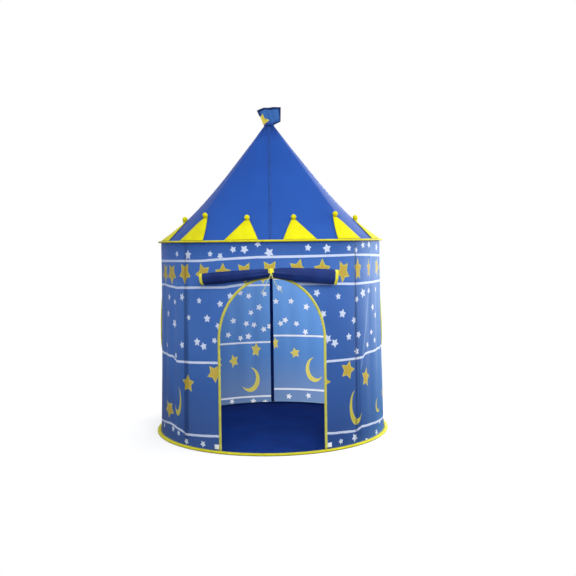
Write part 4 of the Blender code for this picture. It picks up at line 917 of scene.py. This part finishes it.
def hook_tape():
    """White nylon hook tape: rows of short hooks, drawn 1.6 mm apart."""
    made, add = blank("nylon_hook_tape_white")
    place = add("TexCoord").outputs["Object"]
    hooks = add("TexVoronoi", {"Vector": place, "Scale": 1.0 / HOOK_SPACING, "Randomness": 0.35})
    # Painted shade: the tape is greyer in the low gaps between the hooks.
    base = add("Mix RGBA", add("Math MULTIPLY", hooks, 0.8), "#F4F7FC", "#C3CBD9")
    return finish_cloth(made, add, base, add("Math SUBTRACT", 1.0, hooks), roughness=0.8, bump_distance=0.0006,
                        bump_strength=0.5)


HOOK_WHITE = hook_tape()
PATCH_SIDEWAYS, PATCH_MIDDLE, PATCH_TALL = 0.2275, 0.0234, 0.018
for side, word in SIDES:
    up = np.linspace(-PATCH_TALL / 2, PATCH_TALL / 2, 8) + PATCH_MIDDLE
    azimuth = np.arcsin(side * PATCH_SIDEWAYS / wall_radius(up))
    patch = swept("closing_patch_cloth_" + word, wall_point(azimuth, up, 0.0006), sideways_at(azimuth),
                  outward(azimuth), strip(0.0100, 0.0, 0.0008, 0.0096, 0.0014), HOOK_WHITE)
    fasten(patch, "tent", "closing_patch_" + word)

# %% [markdown]
# ## Side windows
#
# Each window is a round hole with a fine net sewn behind it and a stuffed piping round it.
# The net is a disc on the wall's own curve. A disc from a square grid has no pole: x =
# u sqrt(1 - v^2 / 2) and y = v sqrt(1 - u^2 / 2). Real net has 0.8 mm holes, drawn 3 mm.

# %% Net and piping of each window
NET_HOLE, NET_THREAD_WAVE = 0.0030, 0.42


def square_disc(count, radius):
    """A grid of count by count points over a disc."""
    u, v = np.meshgrid(np.linspace(-1, 1, count), np.linspace(-1, 1, count))
    return radius * u * np.sqrt(1 - v * v / 2), radius * v * np.sqrt(1 - u * u / 2)


def window_net():
    """Knitted polyester net: clear holes between navy threads, set by two waves in the cloth."""
    made, add, u, v, _ = blank_cloth("polyester_net_navy")
    threads = [add("Math ABSOLUTE", add("Math SINE", add("Math MULTIPLY", way, pi / NET_HOLE))) for way in (u, v)]
    thread = add("Math LESS_THAN", add("Math MINIMUM", *threads), NET_THREAD_WAVE)
    yarn = add("BsdfPrincipled", {"Base Color": "#27489A", "Roughness": 0.7, "Sheen Weight": 0.2})
    add("OutputMaterial", add("MixShader", thread, add("BsdfTransparent"), yarn))
    return made


NET = window_net()
WINDOW_FOLD = taped("window_piping_yellow", "#D8D22E", "#CBC524", 0.0105)
ring_turn = np.linspace(0.0, 2 * pi, 144, endpoint=False)
PIPING_MIDDLE, PIPING_HALF, PIPING_PROUD = 0.184, 0.004, 0.0062
bead = [(PIPING_HALF * cos(a), 0.0008 + (PIPING_PROUD - 0.0008) * abs(sin(a)) ** 0.8)
        for a in np.linspace(0.0, pi, 11)]
for side, word in SIDES:
    across, up = square_disc(56, NET_RADIUS)
    heights_there = WINDOW_HEIGHT + up
    turn = side * WINDOW_AZIMUTH + np.arcsin(across / wall_radius(heights_there))
    net = grid_piece("window_net_cloth_" + word, wall_point(turn, heights_there, -0.0012), NET,
                     np.stack([across, up], axis=-1))
    fasten(net, "tent", "window_net_" + word)

    ring_height = WINDOW_HEIGHT + PIPING_MIDDLE * np.sin(ring_turn)
    ring_azimuth = side * WINDOW_AZIMUTH + np.arcsin(PIPING_MIDDLE * np.cos(ring_turn) / wall_radius(ring_height))
    from_middle = (sideways_at(ring_azimuth) * np.cos(ring_turn)[:, None]
                   + np.array(UP) * np.sin(ring_turn)[:, None])
    piping = swept("window_piping_cord_" + word, wall_point(ring_azimuth, ring_height), from_middle,
                   outward(ring_azimuth), bead, WINDOW_FOLD, ring=True)
    fasten(piping, "tent", "window_piping_" + word)
print("windows: 2 nets and 2 pipings")

# %% [markdown]
# ## The floor
#
# The floor is one disc of coated cloth that lies loose on the ground. Its edge steps up
# into the hem tape. Low, broad ripples keep it from looking like a board.

# %% Floor
FLOOR_EDGE = BASE_HOOP_RADIUS - FLANGE_SETBACK
FLOOR_STEP, FLOOR_LOW, FLOOR_LOOSE, FLOOR_RISE = 0.500, 0.0006, 0.0012, 0.0014
FLOOR_CLOTH = plain_cloth("coated_taffeta_navy", "#023078", "#01296A", roughness=0.85, sheen=0.0)
across, deep = square_disc(200, FLOOR_EDGE)
from_axis = np.hypot(across, deep)
ripples = (0.0009 * np.sin(19 * across + 7 * deep) * np.sin(13 * deep - 5 * across + 1.0)
           + 0.0005 * np.sin(47 * across - 23 * deep))
lies_loose = 1.0 - smooth(0.40, FLOOR_STEP, from_axis)
stepped = smooth(FLOOR_STEP - 0.006, FLOOR_STEP + 0.002, from_axis)
floor_height = FLOOR_LOW + (FLOOR_LOOSE + ripples) * lies_loose + FLOOR_RISE * stepped
floor = grid_piece("floor_cloth", places(across, deep, floor_height), FLOOR_CLOTH,
                   np.stack([across, deep], axis=-1))
fasten(floor, "tent", "floor_sheet")

# %% [markdown]
# ## Pole sleeves
#
# Inside each corner a strip of navy cloth is sewn to the wall along both its edges, and the
# pole slides into the tunnel between. The profile is a hump with two flat tabs.

# %% Sleeves
SLEEVE_FOOT, SLEEVE_HEAD = (0.49956, 0.003), (0.48399, 0.84804)
SLEEVE_INNER, SLEEVE_OUTER, SLEEVE_TAB_END = 0.0051, 0.0056, 0.0130
SLEEVE_START, SLEEVE_END = 0.0325, 0.0465
TAB_OUTER_START, TAB_INNER_START, TAB_NEAR, TAB_FAR = 0.0075, 0.0070, 0.0058, 0.0062
SLEEVE_CLOTH = plain_cloth("sleeve_taffeta_navy", "#14327E", "#0F276A", through="#1B3F96", share=0.1)
pole_run = direction(np.array(SLEEVE_HEAD) - np.array(SLEEVE_FOOT))
hump = [(-SLEEVE_TAB_END, TAB_NEAR), (-TAB_OUTER_START, TAB_NEAR)]
hump += [(-SLEEVE_OUTER * cos(a), -SLEEVE_OUTER * sin(a)) for a in np.linspace(-0.6, pi + 0.6, 15)]
hump += [(TAB_OUTER_START, TAB_NEAR), (SLEEVE_TAB_END, TAB_NEAR), (SLEEVE_TAB_END, TAB_FAR),
         (TAB_INNER_START, TAB_FAR)]
hump += [(-SLEEVE_INNER * cos(a), -SLEEVE_INNER * sin(a)) for a in np.linspace(pi + 0.55, -0.55, 15)]
hump += [(-TAB_INNER_START, TAB_FAR), (-SLEEVE_TAB_END, TAB_FAR)]
for i, word in enumerate(("front_right", "back_right", "back_left", "front_left")):
    azimuth = RIDGE_AZIMUTH + i * pi / 2
    run = np.linspace(SLEEVE_FOOT + pole_run * SLEEVE_START, SLEEVE_HEAD - pole_run * SLEEVE_END, 60)
    middle = tent_point(azimuth, run[:, 0], run[:, 1])
    sleeve = swept("pole_sleeve_cloth_" + word, middle, sideways_at(azimuth), outward(azimuth), hump,
                   SLEEVE_CLOTH)
    fasten(sleeve, "tent", "pole_sleeve_" + word)
print("sleeves: 4")


# %% [markdown]
# ## Crown points
#
# Thirteen napped yellow triangles stand on the eave tape and lie on the roof. Each is two
# layers sewn round the edge and lightly stuffed, with a round bead of the same cloth on
# its tip. A point is a closed tube of ovals: row by row up the slope, each oval as wide as
# the triangle there and a few millimetres thick. It rides on its own body.

# %% Crown point shape
CROWN_COUNT, CROWN_HALF_BASE, CROWN_HALF_TIP = 13, 0.070, 0.0065
CROWN_LOW_HEIGHT = EAVE_HEIGHT + TAPE_HALF + 0.0011
CROWN_LENGTH = 0.134
CROWN_THICK, CROWN_RIM_THICK, CROWN_FLOAT, QUILT_IN = 0.0021, 0.0006, 0.0031, 0.0045
BEAD_RADIUS, BEAD_OFF_ROOF, BEAD_ROWS, BEAD_COLUMNS = 0.0112, 0.0016, 14, 20
EDGE_PAINTED_SHADOW_START, EDGE_PAINTED_SHADOW_END, QUILT_HALF_WIDE, NAP_SCALE = 0.0008, 0.0026, 0.0006, 900.0
CROWN_LOW_SHARE = (CROWN_LOW_HEIGHT - CROWN_FLOAT * SLOPE_RUN / SLOPE_LENGTH - ROOF_FOOT_HEIGHT) / SLOPE_RISE


def crown_tip_share(azimuth):
    """The roof share at which a point's tip lies, found by halving the stretch that holds it."""
    base = roof_point(azimuth, CROWN_LOW_SHARE)
    low, high = CROWN_LOW_SHARE, 1.0
    for _ in range(24):
        middle = (low + high) / 2
        reached = np.linalg.norm(roof_point(azimuth, middle) - base)
        low, high = (middle, high) if reached < CROWN_LENGTH else (low, middle)
    return low


def napped_yellow():
    """Brushed polyester in a bright yellow: matt and soft, with a painted shadow as a dark edge.

    The nap gives a fine grain with no thread to see. A row of stitches in from the edge
    draws the cloth down into a faint groove, drawn darker with painted shade.
    """
    made, add = blank("brushed_polyester_yellow")
    edge = add("Attribute", attribute_name="from_edge").outputs["Fac"]
    place = add("TexCoord").outputs["Object"]
    # Painted shadow: a dark outline along the point's edge.
    rim = add("MapRange", edge, EDGE_PAINTED_SHADOW_START, EDGE_PAINTED_SHADOW_END, 0.85, 0.0)
    off_stitch = add("Math ABSOLUTE", add("Math SUBTRACT", edge, QUILT_IN))
    stitch = add("Math MULTIPLY", add("Math LESS_THAN", off_stitch, QUILT_HALF_WIDE), 0.55)
    ground = add("Mix RGBA", rim, shaded(add, place, "#D2CE00", "#C8C300", 22.0), "#6E6A1C")
    nap = add("TexNoise", {"Vector": place, "Scale": NAP_SCALE, "Detail": 1.0})
    height = add("Math SUBTRACT", nap, add("Math MULTIPLY", stitch, 1.6))
    # Painted shade: the stitched groove is drawn darker.
    return finish_cloth(made, add, add("Mix RGBA", stitch, ground, "#A9A200"), height, roughness=0.85, sheen=0.1,
                        through="#FFF640", share=0.12, bump_distance=0.0005, bump_strength=0.35)


CROWN_YELLOW = napped_yellow()
crown_rows, crown_round = 44, 48
up_share = np.linspace(0.0, 1.0, crown_rows)[:, None]
turn = np.linspace(0.0, 2 * pi, crown_round, endpoint=False)[None, :]
half_here = lerp(CROWN_HALF_BASE, CROWN_HALF_TIP, up_share)
sideways = half_here * np.cos(turn)
from_side = half_here - np.abs(sideways)
from_base = up_share * CROWN_LENGTH + 0.0 * turn
fullness = smooth(0.0, 0.014, np.minimum(from_side, from_base + 0.002))
quilted = 1.0 - 0.35 * bump(np.minimum(from_side, from_base) - QUILT_IN, 0.0016)
thickness = lerp(CROWN_RIM_THICK, CROWN_THICK, fullness * quilted) * np.sign(np.sin(turn))
thickness = np.where(np.abs(np.sin(turn)) < 1e-9, 0.0, thickness)


def bead_grid(middle, axis):
    """A ball as a grid of rings round an axis, with its poles nearly closed."""
    axis = np.asarray(axis) / np.linalg.norm(axis)
    side = direction(np.cross(axis, [0.3, 0.9, 0.1]))
    other = np.cross(axis, side)
    polar = np.linspace(pi - 0.02, 0.02, BEAD_ROWS)[:, None, None]
    spin = np.linspace(0.0, 2 * pi, BEAD_COLUMNS, endpoint=False)[None, :, None]
    ring = np.cos(spin) * side + np.sin(spin) * other
    return middle + BEAD_RADIUS * (np.cos(polar) * axis + np.sin(polar) * ring)


def plain_uv(rows, columns, tall, wide):
    """A UV grid for a ring piece, in metres."""
    return np.stack(np.meshgrid(np.linspace(0, wide, columns + 1), np.linspace(0, tall, rows)), axis=-1)


# %% Thirteen crown points with their beads
for number in range(CROWN_COUNT):
    word = f"{number + 1:02d}"
    azimuth = 2 * pi * (number + 0.5) / CROWN_COUNT
    tip_share = crown_tip_share(azimuth)
    share = lerp(CROWN_LOW_SHARE, tip_share, up_share) + 0.0 * turn
    around_here = azimuth + np.arctan(sideways / roof_radius(azimuth, share))
    point = grid_piece("crown_point_cloth_" + word, roof_point(around_here, share, CROWN_FLOAT + thickness),
                       CROWN_YELLOW, plain_uv(crown_rows, crown_round, CROWN_LENGTH, 0.28),
                       ring_columns=True, solid=True)
    mark(point, "from_edge", np.minimum(from_side, from_base + 0.004))
    fasten(point, "crown_" + word, "crown_point_" + word)

    middle = roof_point(azimuth, tip_share, BEAD_OFF_ROOF + BEAD_RADIUS)
    knob = grid_piece("crown_bead_" + word, bead_grid(middle, slope_out(azimuth)), CROWN_YELLOW,
                      plain_uv(BEAD_ROWS, BEAD_COLUMNS, 0.03, 0.06), ring_columns=True, solid=True)
    mark(knob, "from_edge", np.full(len(knob.data.vertices), 0.02))
    fasten(knob, "crown_" + word)
print("crown:", CROWN_COUNT, "points with beads")

# %% [markdown]
# ## The rolled door
#
# The door cloth is rolled up and tied at its middle, so each half is a spiral that grows
# from a tight waist to a loose, drooping end. Along the roll the turns run as folds that
# meet at the tie. The spiral is a radius share that grows evenly over seven turns, from a
# quarter to the full oval.

# %% Roll sizes and its spiral
ROLL_SEAM_HEIGHT, ROLL_HALF_LENGTH = 0.738, 0.262
ROLL_WAIST_TALL, ROLL_END_TALL = 0.0150, 0.0255
ROLL_WAIST_DEEP, ROLL_END_DEEP = 0.0090, 0.0130
ROLL_WAIST_DROP, ROLL_END_DROP = 0.0125, 0.0385
ROLL_RIGHT_FULLER, ROLL_RIGHT_HIGHER = 0.0072, 0.0015
ROLL_LEFT_LONGER = 0.018
ROLL_OFF_WALL, ROLL_INSET = 0.0024, 0.97
ROLL_BOUND = 0.013
SPIRAL_TURNS, SPIRAL_CORE = 7, 0.25
SPIRAL_END = 2 * pi * SPIRAL_TURNS
BLEND_START, BLEND_END, BLEND_RADIUS, BLEND_HEIGHT = 0.020, 0.070, 0.512, 0.724


def roll_cloth():
    """Navy taffeta rolled tight; its cut end is bound in yellow tape 13 mm wide.

    UV runs from below zero at the tie to zero at the cut end. The waist's own UV lies above
    zero, so the waist has the tape's yellow all over.
    """
    made, add, from_end, v, place = blank_cloth("taffeta_roll_navy")
    bound = add("Math GREATER_THAN", from_end, -ROLL_BOUND)
    base = add("Mix RGBA", bound, shaded(add, place, "#122C6C", "#0D225A", 14.0), "#CFC93A")
    return finish_cloth(made, add, base, weave_height(add, from_end, v), roughness=0.55, sheen=0.08)


def roll_length(side):
    """The tie sits a little right of the door's middle, so the left half is the longer one."""
    return ROLL_HALF_LENGTH + ROLL_LEFT_LONGER * float(side < 0)


def roll_points(side, share, spiral):
    """Points of the roll over share of its half length and turns of its spiral.

    An oval of half height tall and half depth deep is scaled by the spiral's radius share.
    """
    eased = 1.0 - (1.0 - share) ** 3
    on_right = float(side > 0)
    tall = lerp(ROLL_WAIST_TALL, ROLL_END_TALL + ROLL_RIGHT_FULLER * on_right, eased)
    deep = lerp(ROLL_WAIST_DEEP, ROLL_END_DEEP, eased)
    height = ROLL_SEAM_HEIGHT - lerp(ROLL_WAIST_DROP, ROLL_END_DROP - ROLL_RIGHT_HIGHER * on_right, share)
    radius = wall_radius(height) + ROLL_OFF_WALL + deep
    size = lerp(SPIRAL_CORE, 1.0, spiral / SPIRAL_END)
    gather = 0.03 + 0.08 * np.exp(-((share - 0.14) / 0.16) ** 2)
    folds = 1.0 + gather * np.sin(7 * spiral + 2.0 * side + 1.5 * share)
    size = size * folds * ROLL_INSET
    reach = np.arcsin(roll_length(side) / (wall_radius(ROLL_SEAM_HEIGHT) + ROLL_END_DEEP))
    lean = 0.005 * np.sin(spiral) * share ** 3 / MEAN_RADIUS
    azimuth = side * (reach * share + lean)
    out = deep * size * np.cos(spiral)
    return tent_point(azimuth, radius + out, height + tall * size * np.sin(spiral))


ROLL_CLOTH = roll_cloth()
along_share, spiral = np.meshgrid(np.linspace(0.0, 1.0, 72), np.linspace(0.0, SPIRAL_END, 34 * SPIRAL_TURNS),
                                  indexing="ij")
round_length = 0.40 * (spiral / SPIRAL_END) ** 1.5
for side, word in SIDES:
    half = grid_piece("door_roll_cloth_" + word, roll_points(side, along_share, spiral), ROLL_CLOTH,
                      np.stack([(along_share - 1.0) * roll_length(side), round_length], axis=-1))
    start, end = (tuple(tent_point(side * turn, BLEND_RADIUS, BLEND_HEIGHT)) for turn in (BLEND_START, BLEND_END))
    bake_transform(half)
    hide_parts("door_roll_" + word)
print("roll: 2 halves of", SPIRAL_TURNS, "turns")

# %% Waist of the roll and the tie round it
WAIST_HALF_LENGTH, TIE_CLEAR = 0.0115, 0.0004
TAIL_LENGTH, TAIL_SPREAD, TAIL_WIDTH = 0.075, 0.040, 0.0026
waist_height = ROLL_SEAM_HEIGHT - ROLL_WAIST_DROP
waist_middle = wall_radius(waist_height) + ROLL_OFF_WALL + ROLL_WAIST_DEEP
waist_turn = np.linspace(0.0, 2 * pi, 60, endpoint=False)
pucker = 1.0 + 0.03 * np.sin(9 * waist_turn)
waist_outline = [(ROLL_WAIST_DEEP * cos(a) * p * ROLL_INSET, ROLL_WAIST_TALL * sin(a) * p * ROLL_INSET)
                 for a, p in zip(waist_turn, pucker)]
waist_path = places(np.linspace(-WAIST_HALF_LENGTH, WAIST_HALF_LENGTH, 12), -waist_middle, waist_height)
waist = swept("door_roll_waist_cloth", waist_path, FORWARDS, UP, waist_outline, ROLL_CLOTH)
fasten(waist, "tent", "door_roll_waist")

TIE_FOLD = taped("tie_tape_yellow", "#E9E232", "#DAD226", 0.0092, thread="#F2ED8A")
TIE_PALE = taped("tie_tail_pale", "#B9BE86", "#A9AF7C", 0.0026, thread="#D6D9A8")
loop_turn = np.linspace(0.0, 2 * pi, 72, endpoint=False)
loop_path = places(0.0, -waist_middle - (ROLL_WAIST_DEEP + TIE_CLEAR) * np.cos(loop_turn),
                   waist_height + (ROLL_WAIST_TALL + TIE_CLEAR) * np.sin(loop_turn))
loop_out = direction(places(0.0, -np.cos(loop_turn) * ROLL_WAIST_TALL, np.sin(loop_turn) * ROLL_WAIST_DEEP))
tie = swept("door_tie_loop", loop_path, (1.0, 0.0, 0.0), loop_out, strip(0.0040, 0.0, 0.0009, 0.0034, 0.0012),
            TIE_FOLD, ring=True)
fasten(tie, "tent", "door_tie")
for side, word in SIDES:
    share = np.linspace(0.0, 1.0, 40)
    front = -waist_middle - ROLL_WAIST_DEEP - 0.0011
    curl = 0.004 * np.sin(2.4 * pi * share + side) * share
    tail_path = places(side * (TAIL_SPREAD * share ** 1.15 + curl),
                       front + 0.0009 * share - 0.003 * np.sin(pi * share),
                       waist_height - (0.004 + TAIL_LENGTH * share))
    run = run_of(tail_path)
    level = direction(np.cross(run, FORWARDS))
    tail = swept("door_tie_tail_" + word, tail_path, level, direction(np.cross(level, run)),
                 flat_strip(TAIL_WIDTH / 2, 0.0004), TIE_PALE)
    fasten(tail, "tent")
print("tie: a loop and two tails")

# %% [markdown]
# ## The flag
#
# The flag is a bright blue panel with a plain yellow star printed at its hoist. Its foot is
# gathered into a collar on the peak. The panel spans between a left and a right edge, each
# a broken line of three points, and a soft wave runs through it.

# %% Flag cloth
FLAG_BASE = PEAK_HEIGHT + 0.001
FLAG_LEFT = np.array([(-0.0235, 0.0020), (-0.0420, 0.0450), (-0.0530, 0.0700)])
FLAG_RIGHT = np.array([(0.0175, 0.0040), (0.0510, 0.0200), (0.0525, 0.0835)])
FLAG_TOP_RISE, FLAG_TOP_PLACE = 0.0065, 0.317
FLAG_STAR_MIDDLE, FLAG_STAR_RADIUS, FLAG_STAR_TILT = (-0.0330, 0.0205), 0.036, radians(8)


def flag_place(across, up):
    """x, y and height of the flag over its width and height, both 0 to 1."""
    left_share, right_share = (0.0, 0.61, 1.0), (0.0, 0.30, 1.0)
    left = [np.interp(up, left_share, FLAG_LEFT[:, i]) for i in (0, 1)]
    right = [np.interp(up, right_share, FLAG_RIGHT[:, i]) for i in (0, 1)]
    peak = np.minimum(across / FLAG_TOP_PLACE, (1.0 - across) / (1.0 - FLAG_TOP_PLACE))
    x = lerp(left[0], right[0], across)
    z = lerp(left[1], right[1], across) + FLAG_TOP_RISE * peak * up ** 3
    wave = 0.0055 * np.sin(2 * pi * (2.1 * across + 0.25 * up)) * smooth(0.0, 0.5, up)
    gather = 0.0022 * np.sin(2 * pi * 6 * across) * (1.0 - smooth(0.0, 0.45, up))
    return x, wave + gather, z


def flag_cloth():
    """Taffeta printed with a plain star in one flat yellow ink, with painted shade at its gathered foot."""
    made, add, u, v, place = blank_cloth("taffeta_flag_blue")
    local = add("Mapping", {"Vector": add("UVMap", uv_map="metres"), "Location": (*FLAG_STAR_MIDDLE, 0.0),
                            "Rotation": (0.0, 0.0, -FLAG_STAR_TILT), "Scale": (FLAG_STAR_RADIUS,) * 3},
                vector_type="TEXTURE")
    inside = add("Math LESS_THAN", star_value(add, local), 1.0)
    # Painted shade near the gathered foot of the flag.
    gather_painted_shade = add("MapRange", v, 0.004, 0.034, 0.6, 0.0)
    ground = add("Mix RGBA", gather_painted_shade, shaded(add, place, "#2A5694", "#254E8A", 25.0), "#152E66")
    return finish_cloth(made, add, add("Mix RGBA", inside, ground, "#BDAA3A"), weave_height(add, u, v),
                        sheen=0.05, through=add("Mix RGBA", inside, "#4F86D0", "#D8CB66"), share=0.15)


across, up = np.meshgrid(np.linspace(0, 1, 60), np.linspace(0, 1, 60))
x, y, z = flag_place(across, up)
flag = grid_piece("flag_panel", places(x, y, FLAG_BASE + z), flag_cloth(),
                  np.stack([x, z], axis=-1))
fasten(flag, "flag", "flag")

# %% Collar and navy edge of the flag
collar_turn = np.linspace(0.0, 2 * pi, 96, endpoint=False)
collar_share = np.linspace(0.0, 1.0, 14)[:, None]
collar_pleat = 1.0 + 0.045 * np.sin(14 * collar_turn)[None, :] * (0.4 + 0.6 * collar_share)
collar_radius = lerp(0.0235, 0.0185, collar_share) * collar_pleat
collar_places = tent_point(collar_turn[None, :], collar_radius, FLAG_BASE + 0.0002 + 0.0100 * collar_share)
collar = grid_piece("flag_collar", collar_places, ROOF_CLOTH, plain_uv(14, 96, 0.01, 0.13),
                    ring_columns=True, solid=True)
fasten(collar, "flag")

edge_across = np.concatenate([np.full(14, 0.0), np.linspace(0, 1, 60)[1:], np.full(40, 1.0)])
edge_up = np.concatenate([np.linspace(0.62, 1.0, 14), np.full(59, 1.0), np.linspace(1.0, 0.04, 40)])
x, y, z = flag_place(edge_across, edge_up)
flag_edge = places(x, y, FLAG_BASE + z)
inwards = direction(np.cross(run_of(flag_edge), FORWARDS))
edge_outline = folded([(0.0085, 0.0010), (0.0, 0.0014), (-0.0014, 0.0009)], [(0.0, 0.0003), (0.0085, 0.0003)])
FLAG_FOLD = taped("flag_binding_navy", "#142B62", "#102352", 0.0113, thread="#31508F")
bound = swept("flag_edge_binding", flag_edge, inwards, FORWARDS, edge_outline, FLAG_FOLD)
fasten(bound, "flag", "flag_piping")
print("flag: panel, collar and edge")

# %% [markdown]
# ## Hoops, poles and fittings
#
# The rigid parts keep the model's own shapes. They only need their finishes: drawn spring
# steel, extruded plastic tube and moulded fittings.

# %% Finishes of the rigid parts
def spring_steel():
    """Drawn and oil-hardened wire: dark grey, with a fine speckle in its roughness."""
    made, add = blank("spring_steel_drawn")
    lines = add("TexNoise", {"Vector": add("TexCoord").outputs["Object"], "Scale": 600.0, "Detail": 2.0})
    rough = add("MapRange", {"Value": lines, "To Min": 0.28, "To Max": 0.48})
    add("OutputMaterial", add("BsdfPrincipled", {"Base Color": "#8E9196", "Metallic": 1.0, "Roughness": rough}))
    return made


def tube_plastic():
    """Extruded white tube: a satin skin with faint scuffs."""
    made, add = blank("polypropylene_tube_white")
    scuff = add("TexNoise", {"Vector": add("TexCoord").outputs["Object"], "Scale": 60.0, "Detail": 4.0})
    add("OutputMaterial", add("BsdfPrincipled", {
        "Base Color": add("Mix RGBA", add("MapRange", scuff, 0.55, 0.75), "#E2E5E8", "#D3D7DB"),
        "Roughness": add("MapRange", {"Value": scuff, "To Min": 0.32, "To Max": 0.5}),
        "Normal": add("Bump", {"Height": scuff, "Distance": 0.0001, "Strength": 0.3})}))
    return made


def fitting_plastic():
    """Moulded black nylon with a spark-eroded grain of about 0.4 mm."""
    made, add = blank("nylon_moulded_black")
    grain = add("TexNoise", {"Vector": add("TexCoord").outputs["Object"], "Scale": 1 / 0.0004, "Detail": 1.0})
    raised = add("Bump", {"Height": grain, "Distance": 0.0001, "Strength": 0.4})
    add("OutputMaterial", add("BsdfPrincipled", {
        "Base Color": add("Mix RGBA", grain, "#1A1A1C", "#242427"), "Roughness": 0.5, "Normal": raised}))
    return made


rigid = {("base_hoop", "eave_hoop"): spring_steel(), ("wall_pole", "roof_pole"): tube_plastic(),
         ("foot_cup", "eave_elbow", "peak_hub"): fitting_plastic()}
for starts, finish in rigid.items():
    for name, node in cad.items():
        if name.startswith(starts):
            for holder in node.material_slots:
                holder.material = finish
print("rigid finishes:", [m.name for m in rigid.values()])

# %% [markdown]
# ## Light, floor and background
#
# The photograph is a studio shot on pure white, lit from all round and a little more from
# the right and behind. The world gives the even part. The floor keeps a faint shadow near
# the tent and fades to the background's white further out.

# %% Stage and lamps
AMBIENT = 0.86
FADE_START, FADE_END, VEIL = 0.55, 1.1, 0.45


def white_world():
    """Even light for the object; plain white for the camera, for gloss and through the net."""
    world = bpy.data.worlds.new("studio")
    world.use_nodes = True
    world.node_tree.nodes.clear()
    add = partial(add_node, world.node_tree)
    ray = add("LightPath").outputs
    seen = add("Math MAXIMUM", ray["Is Camera Ray"],
               add("Math MAXIMUM", ray["Is Glossy Ray"], ray["Is Transmission Ray"]))
    strength = add("Math MULTIPLY_ADD", seen, 1.0 - AMBIENT, AMBIENT)
    add("OutputWorld", add("Background", "#FFFFFF", strength))
    bpy.context.scene.world = world


def studio_floor():
    """Matt white paper that fades to the background with distance from the tent."""
    made, add = blank("studio_paper_white")
    away = add("VectorMath LENGTH", add("TexCoord").outputs["Object"])
    fade = add("MapRange", away, FADE_START, FADE_END, interpolation_type="SMOOTHSTEP")
    ray = add("LightPath").outputs["Is Camera Ray"]
    paper = add("BsdfDiffuse", {"Color": add("Mix RGBA", ray, "#5A5A5A", "#FAFAFA")})
    veil = add("Math MULTIPLY", add("Math MULTIPLY_ADD", fade, 1.0 - VEIL, VEIL), ray)
    add("OutputMaterial", add("MixShader", veil, paper, add("Emission", "#FFFFFF", 1.0)))
    return made


def soft_lamp(name, place, aim, size, watts):
    """A square area lamp that points at a place."""
    data = bpy.data.lights.new(name, "AREA")
    data.energy, data.size = watts, size
    lamp = bpy.data.objects.new(name, data)
    lamp.location = place
    lamp.rotation_euler = (Vector(aim) - Vector(place)).to_track_quat("-Z", "Y").to_euler()
    bpy.context.scene.collection.objects.link(lamp)
    return lamp


white_world()
ground_x, ground_y = np.meshgrid(np.linspace(-8, 8, 9), np.linspace(-8, 8, 9))
ground = grid_piece("studio_floor", places(ground_x, ground_y, -0.0008), studio_floor())
soft_lamp("key_front", (0.25, -2.1, 1.9), (0.0, -0.4, 0.85), 1.2, 38.0)
soft_lamp("side_right", (2.6, -0.3, 1.6), (0.0, 0.0, 0.8), 1.2, 30.0)
soft_lamp("strip_right", (2.1, 1.1, 0.65), (0.2, 0.0, 0.6), 0.7, 30.0)
soft_lamp("back_right", (2.6, 2.4, 2.0), (0.0, 0.0, 0.7), 1.6, 60.0)
soft_lamp("back_fill", (0.5, 3.0, 1.1), (0.0, 0.0, 0.55), 1.4, 46.0)
bpy.context.scene.view_settings.view_transform = "Standard"
